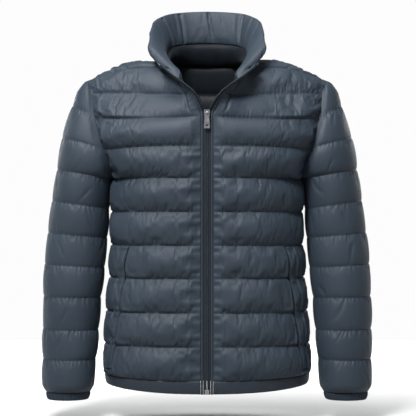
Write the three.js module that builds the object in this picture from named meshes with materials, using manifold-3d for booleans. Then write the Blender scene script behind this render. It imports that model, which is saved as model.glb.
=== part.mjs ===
// A quilted puffer jacket, worn shape with no wearer: padded fronts, back, sleeves and stand collar,
// a hem band, elastic cuffs, pocket welts and a full front zip opened at the neck.
// Millimetres, +Z up, -Y is the front. Left and right in names are as seen from the front, right being +X.
// The origin lies between the shoulders, level with the foot of the collar at the sides.
import * as THREE from "three";
import { mergeVertices } from "three/addons/utils/BufferGeometryUtils.js";
import Module from "manifold-3d";

const wasm = await Module();
wasm.setup();
const { Manifold, Mesh } = wasm;

// Cloth and padding
const WALL = 3; // two cloths and the padding between them, flattened at a stitch line
const SEAM_GAP = 0.3; // between neighbouring pieces
const FRONT_PUFF = 10;
const BACK_PUFF = 9;
const SIDE_PUFF = 4.5; // what is left of a channel's height at the side seams
const ARMPIT_PUFF = 0.4; // and right under the arm, where body and sleeve lie close
const ARMPIT_FADE_LEVEL = 3.5; // from this stitch line up the side seams flatten towards the armpit
// Share of a panel's width at which its padding starts to fade towards the side, low and high on the body
const SIDE_FADE = { low: 0.75, high: 0.9, fromLevel: 5, toLevel: 7 };
const SLEEVE_PUFF = 6.5;
const OUTER_SLEEVE_PUFF = 4.5;
const INNER_SLEEVE_PUFF = 3;
// Degrees round the sleeve from its outer line at which the padding grows, and fades again inside
const SLEEVE_FADE = { outerFrom: 20, outerTo: 60, innerFrom: 110, innerTo: 170 };
const UNDERARM_FADE = { from: 3, to: 5 }; // stitch lines between which the inner side fills out
const ARMHOLE_EDGE_FADE = 0.8; // share of the half round beyond which the cap flattens to its seam
const CAP_TOP_FADE = 0.3; // stitch lines from the shoulder point over which the padding rises
const COLLAR_PUFF = 6;
const COLLAR_END_FADE = 0.9; // share of half its length beyond which the collar flattens to the zip
const HEM_PUFF = 1.5;
const PUFF_POWER = 0.55; // under 1 rounds a channel's back and steepens it at the stitches

// Rows across one channel, as shares of its height
const CHANNEL_ROWS = [0, 0.2, 0.5, 0.8];
const SHOULDER_ROWS = 8; // in the wedge between the top stitch line and the shoulder seam

// Stitch lines of the body from the hem up: height, half width, front and back depth at the centre.
const BODY_LEVELS = [
  { name: "hem", z: -636.5, half: 204, front: 124, back: 109 },
  { name: "hip", z: -571, half: 202, front: 125, back: 109 },
  { name: "pocket_low", z: -506, half: 198, front: 124, back: 106 },
  { name: "pocket_mid", z: -440, half: 192, front: 122, back: 101 },
  { name: "waist", z: -376, half: 189, front: 121, back: 98 },
  { name: "rib", z: -311, half: 189, front: 123, back: 100 },
  { name: "armpit", z: -246, half: 186, front: 126, back: 105 },
  { name: "chest", z: -184, front: 126, back: 110 },
  { name: "upper_chest", z: -124, front: 121, back: 111 },
  { name: "collar_bone", z: -72, front: 106, back: 107 },
];
const ARMPIT_LEVEL = 6;
const HEM_LIFT = { seam: 6, edge: 11 }; // the hem's sides sit this much higher than its middle
const SECTION_FULLNESS = { front: 0.64, back: 0.6, side: 0.6 }; // 0.55 is an ellipse

// The armhole from the armpit to the shoulder point; a name marks where a stitch line meets it.
const ARMHOLE = {
  front: [
    { x: 186, y: 0, z: -246, name: "armpit" },
    { x: 187, y: -29, z: -240 },
    { x: 189, y: -47, z: -226 },
    { x: 195, y: -58, z: -206 },
    { x: 203, y: -62, z: -187, name: "chest" },
    { x: 213, y: -59, z: -156 },
    { x: 221, y: -50, z: -126, name: "upper_chest" },
    { x: 225, y: -43, z: -101 },
    { x: 228, y: -35, z: -77, name: "collar_bone" },
    { x: 233, y: -22, z: -60 },
    { x: 238, y: -6, z: -50, name: "shoulder" },
  ],
  back: [
    { x: 186, y: 0, z: -246, name: "armpit" },
    { x: 187, y: 30, z: -239 },
    { x: 189, y: 47, z: -225 },
    { x: 194, y: 57, z: -205 },
    { x: 200, y: 61, z: -187, name: "chest" },
    { x: 210, y: 59, z: -156 },
    { x: 217, y: 53, z: -126, name: "upper_chest" },
    { x: 223, y: 46, z: -101 },
    { x: 227, y: 37, z: -77, name: "collar_bone" },
    { x: 234, y: 17, z: -60 },
    { x: 238, y: -6, z: -50, name: "shoulder" },
  ],
};
// The angle in plan, in degrees from sideways, at which each upper stitch line reaches the armhole
const ARMHOLE_ANGLE = { armpit: 90, chest: 52, upper_chest: 44, collar_bone: 35 };
const ARMHOLE_PULL = 0.56; // how far along that angle the line's last handle reaches
const ARMHOLE_SPANS = ARMHOLE.front.length - 1;
const ARMHOLE_STOPS = [0, 4, 6, 8, ARMHOLE_SPANS]; // spans below the levels 6 to 10

// The teeth edge of the open zip from where it parts to its top: height, distance from the centre,
// depth, and how far the tape has turned from sideways towards the back, in degrees.
const ZIP_EDGE = [
  { z: -662, x: 0, y: -124, turn: 0 },
  { z: -571, x: 0, y: -125, turn: 0 },
  { z: -440, x: 0, y: -122, turn: 0 },
  { z: -376, x: 0, y: -121, turn: 0 },
  { z: -246, x: 0, y: -126, turn: 0 },
  { z: -150, x: 0, y: -125, turn: 0 },
  { z: -123, x: 0, y: -125, turn: 0 },
  { z: -116, x: 2.4, y: -126.5, turn: 8 },
  { z: -106, x: 8, y: -132, turn: 24 },
  { z: -92, x: 16, y: -137, turn: 42 },
  { z: -79, x: 27, y: -138, turn: 56 },
  { z: -66, x: 43, y: -133, turn: 70 },
  { z: -50, x: 65, y: -122, turn: 84 },
  { z: -33, x: 85, y: -107, turn: 94 },
  { z: -22, x: 95, y: -95, turn: 98 },
];
const ZIP_TOP = -22;
const COLLAR_FRONT = -55; // height of the teeth edge at the foot of the collar
// Widths from the teeth edge, and heights from the cloth
const TAPE = { from: 0.3, to: 7, front: -0.2, back: -2 };
const PLACKET = { from: 7.3, to: 11.8, front: 1, back: -2.6 };
const PANEL_FROM = 12.1;
const LAPEL_REACH = 62; // how far into the front the turned edge pulls the cloth
const LAPEL_TURN = 40; // degrees of turn from which it pulls that far
const ZIP_STEP = 3; // half the height over which the edge's direction is taken

// The foot of the collar from the centre back to the zip, and its top edge
const NECK_FOOT = [
  { x: 0, y: 80, z: 33 },
  { x: 38, y: 75, z: 31 },
  { x: 68, y: 52, z: 24 },
  { x: 82, y: 14, z: 11 },
  { x: 82, y: -20, z: -4 },
  { x: 75, y: -52, z: -20, name: "shoulder_seam" },
  { x: 63, y: -80, z: -33 },
  { x: 52, y: -101, z: -45 },
];
const COLLAR_TOP = [
  { x: 0, y: 86, z: 99.5 },
  { x: 45, y: 81, z: 97 },
  { x: 80, y: 60, z: 90 },
  { x: 103, y: 28, z: 75 },
  { x: 112, y: -8, z: 53 },
  { x: 114, y: -42, z: 27 },
  { x: 115, y: -68, z: 3 },
];
const SHOULDER_SEAM = [
  { x: 99, y: -51, z: -26 },
  { x: 130, y: -42, z: -27 },
  { x: 163, y: -30, z: -29 },
  { x: 200, y: -18, z: -38 },
];
// The stitch line over the back of the shoulders, from the centre back
const YOKE_LINE = [
  { x: 0, y: 99, z: -14 },
  { x: 60, y: 93, z: -10 },
  { x: 110, y: 70, z: -10 },
  { x: 160, y: 44, z: -21 },
  { x: 205, y: 22, z: -38 },
];

// Columns of a front from the zip to the side, as shares; the pocket welt fills one of them.
const FRONT_COLUMNS = [0, 0.03, 0.08, 0.18, 0.28, 0.39, 0.51, 0.64, 0.72, 0.89, 1];
const FRONT_EDGE_PUFF = [0, 0.25, 0.8, 1, 1, 1, 1, 1, 1, 1, 1];
const SHOULDER_COLUMN = 4; // the column that reaches the neck end of the shoulder seam
const WELT_COLUMN = 7;
const WELT = {
  topRow: 16,
  bottomRow: 1,
  topShare: 0.61,
  bottomShare: 0.73,
  width: 0.075,
  thickness: 2.2,
  cushion: 2,
};
const WELT_LIFT = 0.3; // above the front
const WELT_EDGE = 0.06; // share of its width left bare at each side
// How far the back rises between its upper stitch lines, above a straight line
const YOKE_ARCH = { low: 4, high: 9, from: 0.82, full: 0.55, neckFrom: 0.36, neckTo: 0.6 };
const FULL_PUFF_WIDTH = 52; // a channel narrower than this is padded less
// Columns of half the back from the centre
const BACK_COLUMNS = [0, 0.07, 0.14, 0.22, 0.3, 0.39, 0.49, 0.6, 0.7, 0.8, 0.9, 1];
const BACK_NECK_COLUMN = 5;

// The sleeve: `at` counts stitch lines from the shoulder point. out is the outer side, mid the centre,
// y and depth are its place and half size front to back, sweep the share of a turn it goes round.
const SLEEVE_LEVELS = [
  { at: 0, outX: 238, outZ: -50, midX: 238, midZ: -50, y: -6, depth: 0, sweep: 90 },
  { at: 0.12, outX: 243, outZ: -52, midX: 236, midZ: -57, y: -3, depth: 16, sweep: 90 },
  { at: 0.67, outX: 259, outZ: -74, midX: 228, midZ: -78, y: 1, depth: 36, sweep: 90 },
  { at: 1, outX: 268, outZ: -101, midX: 220, midZ: -120, y: 0, depth: 51, sweep: 91 },
  { at: 2, outX: 288, outZ: -164, midX: 231, midZ: -177, y: -1, depth: 64, sweep: 120 },
  { at: 3, outX: 298, outZ: -227, midX: 242, midZ: -236.5, y: 0, depth: 66, sweep: 180 },
  { at: 4, outX: 308, outZ: -289, midX: 252, midZ: -297, y: -1, depth: 64, sweep: 180 },
  { at: 5, outX: 316, outZ: -352, midX: 258, midZ: -357, y: -4, depth: 61, sweep: 180 },
  { at: 6, outX: 322, outZ: -414, midX: 263.5, midZ: -417.5, y: -9, depth: 58, sweep: 180 },
  { at: 7, outX: 324, outZ: -478, midX: 268, midZ: -479, y: -14, depth: 56, sweep: 180 },
  { at: 8, outX: 324.5, outZ: -542, midX: 270.5, midZ: -543, y: -20, depth: 53, sweep: 180 },
  { at: 9, outX: 324, outZ: -601, midX: 272.5, midZ: -601, y: -26, depth: 50, sweep: 180 },
  { at: 9.8, outX: 323, outZ: -653, midX: 274, midZ: -653, y: -31, depth: 46, sweep: 180 },
  { at: 10, outX: 317.5, outZ: -666, midX: 274.3, midZ: -666, y: -32, depth: 37, sweep: 180 },
];
const SLEEVE_COLUMNS = 16;
const SLEEVE_LINES = 10;

const HEM_BAND = { bottom: -662, inset: 3, rows: 2 };
const CUFF = { bottom: -681, outX: 314.5, midX: 275, y: -33, depth: 36, wall: 2.4, gatherDepth: 1 };
const COLLAR_ROWS = 5;
const COLLAR_WALL = 3;
const COLLAR_GAP = 0.5; // its foot folds sharply over the fronts
// Near its front edge the collar goes on the way the zip tape points
const COLLAR_FOLLOW = { from: 0.8, share: 1.6, topLoss: 0.85, topPower: 6 };

// The right edge of the opening hangs a little further open than the left one
const SWAY = { shift: 6, lowZ: -125, highZ: -30, backY: -50, frontY: -110 };

const vec = (p) => new THREE.Vector3(p.x, p.y, p.z);
const mix = THREE.MathUtils.lerp;
const radians = THREE.MathUtils.degToRad;
const clamp01 = (x) => Math.min(1, Math.max(0, x));

// The slider, its bridge and the pull that hangs from it
const SLIDER = {
  top: -115.5,
  bottom: -131,
  halfTop: 5.8,
  halfBottom: 4.6,
  back: -127.6,
  thickness: 2,
  corner: 2,
};
const BRIDGE = { width: 2.4, inner: 1.6, outer: 2.8, sunk: 0.5 };
const HINGE = { y: -131.1, z: -121.5 };
const PULL = {
  length: 30,
  thickness: 1.4,
  halfTop: 4,
  halfBottom: 5.8,
  bar: 0.7,
  corner: 1.6,
  windowHalf: 1.7,
  windowEnd: -3.8,
  slot: { z: -24, halfWidth: 3, halfHeight: 1.6 },
};
const ZIP_BOX = { top: -653, bottom: -662, half: 4.2, back: -124.6, thickness: 2.4, corner: 1 };
const TOP_STOP = { height: 5, from: 0.8, to: 3.6, front: 1.9, back: 0.15 };

const COLOURS = {
  shell: { color: 0x4a5663, roughness: 0.5, metalness: 0 },
  collar: { color: 0x4a5663, roughness: 0.5, metalness: 0 },
  band: { color: 0x434e5a, roughness: 0.6, metalness: 0 },
  elastic: { color: 0x39434e, roughness: 0.7, metalness: 0 },
  zip_tape: { color: 0x2f3841, roughness: 0.7, metalness: 0 },
  metal: { color: 0xa9adb0, roughness: 0.35, metalness: 0.9 },
};

// Rises smoothly from 0 at `from` to 1 at `to`, whichever is larger
function rise(from, to, x) {
  const t = clamp01((x - from) / (to - from));
  return t * t * (3 - 2 * t);
}

// Reads a table at a value of one column, straight between its lines
function readTable(table, column, value) {
  const up = table[table.length - 1][column] > table[0][column];
  let i = 0;
  while (i < table.length - 2 && (up ? value > table[i + 1][column] : value < table[i + 1][column])) {
    i += 1;
  }
  const [a, b] = [table[i], table[i + 1]];
  const t = (value - a[column]) / (b[column] - a[column]);
  const line = {};
  for (const key of Object.keys(a)) {
    if (typeof a[key] === "number") {
      line[key] = mix(a[key], b[key] ?? a[key], t);
    }
  }
  return line;
}

const smooth = (points) => new THREE.CatmullRomCurve3(points.map(vec), false, "centripetal");

// The teeth edge with the directions across the tape and out of its face
function zipFrame(z) {
  const edge = (height) => vec(readTable(ZIP_EDGE, "z", height));
  const at = edge(z);
  const [above, below] = [Math.min(ZIP_TOP, z + ZIP_STEP), Math.max(HEM_BAND.bottom, z - ZIP_STEP)];
  const along = edge(above).sub(edge(below)).normalize();
  const turn = radians(readTable(ZIP_EDGE, "z", z).turn);
  const across = new THREE.Vector3(Math.cos(turn), Math.sin(turn), 0);
  across.addScaledVector(along, -across.dot(along)).normalize();
  const out = new THREE.Vector3().crossVectors(across, along).normalize();
  return { at, along, across, out };
}

function zipPoint(z, away, front = 0) {
  const f = zipFrame(z);
  return f.at.addScaledVector(f.across, away).addScaledVector(f.out, front);
}

// Body levels run on from the stitch lines through the shoulder: 6 armpit, 9 collar bone, 10 shoulder
const armholeCurve = { front: smooth(ARMHOLE.front), back: smooth(ARMHOLE.back) };
const LEVEL_Z = BODY_LEVELS.map((level) => level.z);

function armholePoint(face, level) {
  const i = Math.min(3, Math.floor(level - ARMPIT_LEVEL));
  const stop = mix(ARMHOLE_STOPS[i], ARMHOLE_STOPS[i + 1], level - ARMPIT_LEVEL - i);
  return armholeCurve[face].getPoint(stop / ARMHOLE_SPANS);
}

// One level line of a front or of half the back, from the middle to the side or armhole
function levelLine(face, level, inset = 0, heightNow = null, liftNow = null) {
  const i = Math.min(BODY_LEVELS.length - 2, Math.floor(level));
  const [low, high] = [BODY_LEVELS[i], BODY_LEVELS[i + 1]];
  const t = level - i;
  const z = heightNow ?? mix(low.z, high.z, t);
  const depth = mix(low[face], high[face], t) - inset;
  const sign = face === "front" ? -1 : 1;
  let end;
  let angle = 90;
  if (level < ARMPIT_LEVEL) {
    const lift = liftNow ?? HEM_LIFT.seam * Math.max(0, 1 - level);
    end = new THREE.Vector3(mix(low.half, high.half, t) - inset, 0, z + lift);
  } else {
    end = armholePoint(face, level);
    const names = Object.keys(ARMHOLE_ANGLE);
    const k = Math.min(2, Math.floor(level - ARMPIT_LEVEL));
    angle = mix(ARMHOLE_ANGLE[names[k]], ARMHOLE_ANGLE[names[k + 1]], level - ARMPIT_LEVEL - k);
  }
  let start = new THREE.Vector3(0, depth, z);
  let leave = new THREE.Vector3(SECTION_FULLNESS.back * end.x, 0, 0);
  if (face === "front") {
    start = zipPoint(z, PANEL_FROM);
    start.y += inset;
    const turn = readTable(ZIP_EDGE, "z", z).turn;
    const reach = mix(SECTION_FULLNESS.front * (end.x - start.x), LAPEL_REACH, clamp01(turn / LAPEL_TURN));
    leave = zipFrame(z).across.multiplyScalar(reach);
  }
  const pull = level < ARMPIT_LEVEL ? SECTION_FULLNESS.side : ARMHOLE_PULL;
  const back = (pull * Math.abs(start.y - end.y)) / Math.sin(radians(angle));
  const lastHandle = end.clone();
  lastHandle.x -= back * Math.cos(radians(angle));
  lastHandle.y += sign * back * Math.sin(radians(angle));
  return new THREE.CubicBezierCurve3(start, start.clone().add(leave), lastHandle, end);
}

// A four-sided patch between two long edges and two short ones
function patch(bottom, top, left, right, shares, row) {
  return shares.map((share, i) => {
    const p = bottom[i].clone().lerp(top[i], row);
    const sides = left(row).lerp(right(row), share);
    const corners = bottom[0].clone().lerp(bottom.at(-1), share);
    corners.lerp(top[0].clone().lerp(top.at(-1), share), row);
    return p.add(sides).sub(corners);
  });
}

const pointsAlong = (curve, shares) => shares.map((share) => curve.getPointAt(share));
const flipped = (points) => points.map((p) => new THREE.Vector3(-p.x, p.y, p.z));
const reversed = (list) => [...list].reverse();

// Rows of a panel: level, and the share of the channel's height that the row has risen
function channelRows(first, last) {
  const rows = [];
  for (let k = first; k < last; k += 1) {
    for (const share of CHANNEL_ROWS) {
      rows.push({ level: k + share, share });
    }
  }
  rows.push({ level: last, share: 0 });
  return rows;
}

function frontShares(rowIndex) {
  const shares = [...FRONT_COLUMNS];
  const t = clamp01((rowIndex - WELT.bottomRow) / (WELT.topRow - WELT.bottomRow));
  shares[WELT_COLUMN] = mix(WELT.bottomShare, WELT.topShare, t);
  shares[WELT_COLUMN + 1] = shares[WELT_COLUMN] + WELT.width;
  shares[WELT_COLUMN - 1] = mix(shares[WELT_COLUMN - 2], shares[WELT_COLUMN], 0.5);
  return shares;
}

const puffAt = (share) => (4 * share * (1 - share)) ** PUFF_POWER;
const TOP_LEVEL = BODY_LEVELS.length - 1;

function spread(count, low, high) {
  return Array.from({ length: count + 1 }, (_, i) => mix(low, high, i / count));
}

// Top edge of a front: the collar's foot from the zip, then the shoulder seam
function neckCurve() {
  return smooth([...NECK_FOOT, zipPoint(COLLAR_FRONT, PANEL_FROM)]);
}
const NECK_STOP = NECK_FOOT.findIndex((p) => p.name === "shoulder_seam") / NECK_FOOT.length;
const shoulderSeam = smooth([
  NECK_FOOT.find((p) => p.name === "shoulder_seam"),
  ...SHOULDER_SEAM,
  ARMHOLE.front.at(-1),
]);

const channelWidths = (low, high) => low.map((p, i) => Math.min(1, p.distanceTo(high[i]) / FULL_PUFF_WIDTH));

function frontGrid() {
  const rows = channelRows(0, TOP_LEVEL).map((row, j) => ({
    points: pointsAlong(levelLine("front", row.level), frontShares(j)),
    puff: puffAt(row.share),
    level: row.level,
  }));
  const shares = frontShares(rows.length);
  const bottom = rows.at(-1).points;
  const neck = neckCurve();
  const top = shares.map((share, i) =>
    i <= SHOULDER_COLUMN
      ? neck.getPoint(mix(1, NECK_STOP, share / shares[SHOULDER_COLUMN]))
      : shoulderSeam.getPointAt((i - SHOULDER_COLUMN) / (shares.length - 1 - SHOULDER_COLUMN)),
  );
  const left = (t) => zipPoint(mix(LEVEL_Z.at(-1), COLLAR_FRONT, t), PANEL_FROM);
  const right = (t) => armholePoint("front", TOP_LEVEL + t);
  for (let j = 1; j <= SHOULDER_ROWS; j += 1) {
    const t = j / SHOULDER_ROWS;
    const points = patch(bottom, top, left, right, shares, t);
    rows.push({ points, puff: puffAt(t), level: TOP_LEVEL + t, narrow: channelWidths(bottom, top) });
  }
  return rows;
}

function backGrid() {
  const half = channelRows(0, TOP_LEVEL).map((row) => ({
    points: pointsAlong(levelLine("back", row.level), BACK_COLUMNS),
    puff: puffAt(row.share),
    level: row.level,
  }));
  const yoke = smooth([...YOKE_LINE, armholePoint("back", TOP_LEVEL + 0.5)]);
  const yokePoints = pointsAlong(yoke, BACK_COLUMNS);
  const neck = neckCurve();
  const turn = BACK_COLUMNS[BACK_NECK_COLUMN];
  const top = BACK_COLUMNS.map((share, i) =>
    i <= BACK_NECK_COLUMN
      ? neck.getPoint(mix(0, NECK_STOP, share / turn))
      : shoulderSeam.getPointAt((i - BACK_NECK_COLUMN) / (BACK_COLUMNS.length - 1 - BACK_NECK_COLUMN)),
  );
  const edges = [half.at(-1).points, yokePoints, top];
  for (let k = 0; k < 2; k += 1) {
    const [low, high] = [edges[k], edges[k + 1]];
    const left = (t) => low[0].clone().lerp(high[0], t);
    const right = (t) => armholePoint("back", TOP_LEVEL + (k + t) / 2);
    for (let j = 1; j <= SHOULDER_ROWS / 2; j += 1) {
      const t = j / (SHOULDER_ROWS / 2);
      const points = patch(low, high, left, right, BACK_COLUMNS, t);
      const arch = (k === 0 ? YOKE_ARCH.low : YOKE_ARCH.high) * 4 * t * (1 - t);
      points.forEach((p, i) => {
        const side = rise(YOKE_ARCH.from, YOKE_ARCH.full, BACK_COLUMNS[i]);
        p.z += arch * side * (k === 0 ? 1 : rise(YOKE_ARCH.neckFrom, YOKE_ARCH.neckTo, BACK_COLUMNS[i]));
        p.y += k === 0 ? arch * side : 0;
      });
      const narrow = channelWidths(low, high);
      half.push({ points, puff: puffAt(t), level: TOP_LEVEL + (k + t) / 2, narrow });
    }
  }
  return half;
}

// Sleeve rows from the shoulder point down: the armhole stop each cap row ends at, then whole rings
const CAP_ROWS = [
  { at: 0, stop: 10, share: 0 },
  { at: 0.05, stop: 9.5, share: 0.2 },
  { at: 0.12, stop: 9, share: 0.3 },
  { at: 0.36, stop: 8.5, share: 0.4 },
  { at: 0.67, stop: 8, share: 0.6 },
  { at: 0.735, stop: 7.6, share: 0.7 },
  { at: 0.835, stop: 7, share: 0.8 },
  { at: 0.92, stop: 6.4, share: 0.9 },
];
const ARM_LOWEST_STOP = 3;

function sleeveRows() {
  const rows = [...CAP_ROWS];
  for (let k = 1; k < SLEEVE_LINES; k += 1) {
    for (const share of CHANNEL_ROWS) {
      const at = k + share;
      const stop = k === 1 ? mix(6, 4, share) : Math.max(0, mix(4, 0, at - 2));
      rows.push({ at, stop, share });
    }
  }
  rows.push({ at: SLEEVE_LINES, stop: 0, share: 0 });
  return rows;
}

function ringPoint(line, angle) {
  const cos = Math.cos(angle);
  return new THREE.Vector3(
    line.midX + (line.outX - line.midX) * cos,
    line.y + line.depth * Math.sin(angle),
    line.midZ + (line.outZ - line.midZ) * cos,
  );
}

function sleeveGrid() {
  return sleeveRows().map((row) => {
    const line = readTable(SLEEVE_LEVELS, "at", row.at);
    const sweep = radians(line.sweep);
    const shares = spread(SLEEVE_COLUMNS, 1, -1);
    const ends = ["front", "back"].map((face) => armholeCurve[face].getPoint(row.stop / ARMHOLE_SPANS));
    const open = row.at < ARM_LOWEST_STOP;
    const points = shares.map((share) => {
      const p = ringPoint(line, share * sweep);
      if (open) {
        const end = ends[share < 0 ? 0 : 1];
        const miss = end.clone().sub(ringPoint(line, Math.sign(share) * sweep));
        p.addScaledVector(miss, Math.abs(share) ** 2);
      }
      return p;
    });
    const puffs = shares.map((share) => {
      const round = Math.abs(share) * line.sweep;
      const inside = rise(SLEEVE_FADE.innerFrom, SLEEVE_FADE.innerTo, round);
      const outside = rise(SLEEVE_FADE.outerFrom, SLEEVE_FADE.outerTo, round);
      const low = mix(ARMPIT_PUFF, INNER_SLEEVE_PUFF, rise(UNDERARM_FADE.from, UNDERARM_FADE.to, row.at));
      const high = mix(OUTER_SLEEVE_PUFF, SLEEVE_PUFF, outside);
      const edge = open ? rise(1, ARMHOLE_EDGE_FADE, Math.abs(share)) : 1;
      const top = row.at < 1 ? rise(0, CAP_TOP_FADE, row.at) : 1;
      return puffAt(row.share) * mix(high, low, inside) * edge * top;
    });
    return { points, puffs, at: row.at, share: row.share };
  });
}

// The height at which a row of a front starts from the zip
function rowHeight(row) {
  const i = Math.min(TOP_LEVEL, Math.floor(row.level));
  const above = LEVEL_Z[i + 1] ?? COLLAR_FRONT;
  return mix(LEVEL_Z[i], above, row.level - i);
}

// Heights of the padding over a front or half the back
function bodyPuffs(rows, columns, puff, edgePuff, welt) {
  return rows.map((row, j) => {
    const low = mix(SIDE_PUFF, ARMPIT_PUFF, rise(ARMPIT_FADE_LEVEL, ARMPIT_LEVEL, row.level));
    const inSeam = row.level > ARMPIT_LEVEL ? 0 : low;
    const reach = mix(SIDE_FADE.low, SIDE_FADE.high, rise(SIDE_FADE.fromLevel, SIDE_FADE.toLevel, row.level));
    return columns(j).map((share, i) => {
      const side = rise(reach, 1, share);
      let height = mix(puff * edgePuff[i], inSeam, side) * row.puff * (row.narrow?.[i] ?? 1);
      if (welt && (i === WELT_COLUMN || i === WELT_COLUMN + 1) && j > WELT.bottomRow && j < WELT.topRow) {
        height = Math.min(height, WELT.cushion);
      }
      return height;
    });
  });
}

const GARMENT = [];
// Where the walls of body and sleeve meet, the seam's face leans towards the middle of the armhole
const ARMHOLE_CENTRE_Z = -150;
const ARMHOLE_SPOKE = 0.8;
const LEAN_LIMIT = 0.6; // a wall is never made thicker than this share allows where panels meet at an angle
const INWARD_LEAN = 0.5; // share of the way from along a panel to into it, in which a seam's side is told
const MITRE_LIMIT = 0.4; // the same for a corner's pull off two seams
const KEY_SHIFT = 0.137; // keeps round values off the edge between two keys
const keyOf = (p) => [p.x, p.y, p.z].map((c) => Math.round(c * 20 + KEY_SHIFT)).join();

// The opening's right edge, seen from the front, hangs a little further out
function sway(p) {
  const share = rise(SWAY.lowZ, SWAY.highZ, p.z) * rise(SWAY.backY, SWAY.frontY, p.y);
  if (p.x > 0) {
    p.x += SWAY.shift * share;
  }
  return p;
}

function addPanel(name, rows, options) {
  const points = rows.map((row) => row.points.map((p) => sway(p.clone())));
  GARMENT.push({ name, part: options.part ?? name, points, puffs: rows.map((row) => row.puffs), ...options });
}

function mirrored(rows) {
  return rows.map((row) => ({
    ...row,
    points: reversed(flipped(row.points)),
    puffs: reversed(row.puffs),
  }));
}

// Every panel's own normals, then one shared normal wherever panels meet
function gridNormal(points, j, i) {
  const sum = new THREE.Vector3();
  const p = points[j][i];
  const ring = [[0, 1], [1, 0], [0, -1], [-1, 0]];
  for (let k = 0; k < 4; k += 1) {
    const [a, b] = [ring[k], ring[(k + 1) % 4]];
    const first = points[j + a[0]]?.[i + a[1]];
    const second = points[j + b[0]]?.[i + b[1]];
    if (first && second) {
      const cross = new THREE.Vector3().crossVectors(first.clone().sub(p), second.clone().sub(p));
      if (cross.length() > 1e-6) {
        sum.add(cross.normalize());
      }
    }
  }
  return sum.normalize();
}

function shareNormals() {
  const shared = new Map();
  for (const panel of GARMENT) {
    panel.own = panel.points.map((row, j) => row.map((_, i) => gridNormal(panel.points, j, i)));
    panel.points.forEach((row, j) => row.forEach((p, i) => {
      const key = keyOf(p);
      const parts = shared.get(key) ?? shared.set(key, new Map()).get(key);
      const sum = parts.get(panel.part) ?? parts.set(panel.part, new THREE.Vector3()).get(panel.part);
      sum.add(panel.own[j][i]);
    }));
  }
  const result = new Map();
  for (const [key, parts] of shared) {
    const sum = new THREE.Vector3();
    const normals = [...parts.values()].map((n) => n.normalize());
    normals.forEach((n) => sum.add(n));
    const names = [...parts.keys()];
    if (names.some((n) => n.startsWith("sleeve")) && names.length > 1) {
      const [x, y, z] = key.split(",").map((c) => c / 20);
      sum.add(new THREE.Vector3(0, y, z - ARMHOLE_CENTRE_Z).normalize().multiplyScalar(ARMHOLE_SPOKE));
    }
    sum.normalize();
    const lean = Math.min(...normals.map((n) => n.dot(sum)));
    result.set(key, { normal: sum, stretch: 1 / Math.max(LEAN_LIMIT, lean) });
  }
  for (const panel of GARMENT.filter((p) => p.zipColumns)) {
    for (const i of panel.zipColumns) {
      panel.zipHeights.forEach((z, j) => {
        const p = panel.points[j][i];
        const normal = zipFrame(z).out;
        normal.x *= Math.sign(p.x);
        result.set(keyOf(p), { normal, stretch: 1 });
      });
    }
  }
  for (const panel of GARMENT.filter((p) => p.halvedRow !== undefined)) {
    const row = panel.points[panel.halvedRow];
    for (let i = 1; i < row.length; i += 2) {
      const [before, after] = [result.get(keyOf(row[i - 1])), result.get(keyOf(row[i + 1]))];
      const normal = before.normal.clone().add(after.normal).normalize();
      result.set(keyOf(row[i]), { normal, stretch: (before.stretch + after.stretch) / 2 });
    }
  }
  return result;
}

// A closed wall over a grid: a full outer face, a plain inner one on chosen lines, and rims
class Wall {
  constructor() {
    this.index = new Map();
    this.positions = [];
    this.triangles = [];
  }

  vertex(p) {
    const key = [p.x, p.y, p.z].map((c) => Math.round(c * 1000 + KEY_SHIFT)).join();
    if (!this.index.has(key)) {
      this.index.set(key, this.positions.length / 3);
      this.positions.push(p.x, p.y, p.z);
    }
    return this.index.get(key);
  }

  triangle(a, b, c) {
    if (a !== b && b !== c && a !== c) {
      this.triangles.push(a, b, c);
    }
  }

  quad(a, b, c, d) {
    this.triangle(a, b, c);
    this.triangle(a, c, d);
  }

  distance(a, b) {
    const p = this.positions;
    return Math.hypot(...[0, 1, 2].map((c) => p[3 * a + c] - p[3 * b + c]));
  }

  // A strip between a fine line and a coarse one; `stops` are the coarse points' places on the fine line.
  // Each piece is cut along its shorter diagonal, so that both sides of a seam agree.
  strip(fine, coarse, stops) {
    for (let k = 0; k < stops.length - 1; k += 1) {
      const [low, high] = [fine[stops[k]], fine[stops[k + 1]]];
      const lowFirst = this.distance(low, coarse[k + 1]) < this.distance(high, coarse[k]);
      const middle = lowFirst ? stops[k] : stops[k + 1];
      for (let i = stops[k]; i < middle; i += 1) {
        this.triangle(coarse[k], fine[i + 1], fine[i]);
      }
      this.triangle(coarse[k], coarse[k + 1], fine[middle]);
      for (let i = middle; i < stops[k + 1]; i += 1) {
        this.triangle(coarse[k + 1], fine[i + 1], fine[i]);
      }
    }
  }

  mesh(name, slot) {
    const p = this.positions;
    const t = this.triangles;
    let volume = 0;
    const at = (i) => new THREE.Vector3(p[3 * i], p[3 * i + 1], p[3 * i + 2]);
    for (let i = 0; i < t.length; i += 3) {
      volume += at(t[i]).dot(at(t[i + 1]).cross(at(t[i + 2])));
    }
    if (volume < 0) {
      for (let i = 0; i < t.length; i += 3) {
        [t[i + 1], t[i + 2]] = [t[i + 2], t[i + 1]];
      }
    }
    const geometry = new THREE.BufferGeometry();
    geometry.setAttribute("position", new THREE.Float32BufferAttribute(p, 3));
    geometry.setIndex(t);
    return named(geometry, name, slot);
  }
}

function named(geometry, name, slot) {
  geometry.computeVertexNormals();
  const look = COLOURS[slot];
  const material = new THREE.MeshStandardMaterial({ ...look });
  material.name = slot;
  const mesh = new THREE.Mesh(geometry, material);
  mesh.name = name;
  return mesh;
}

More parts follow.
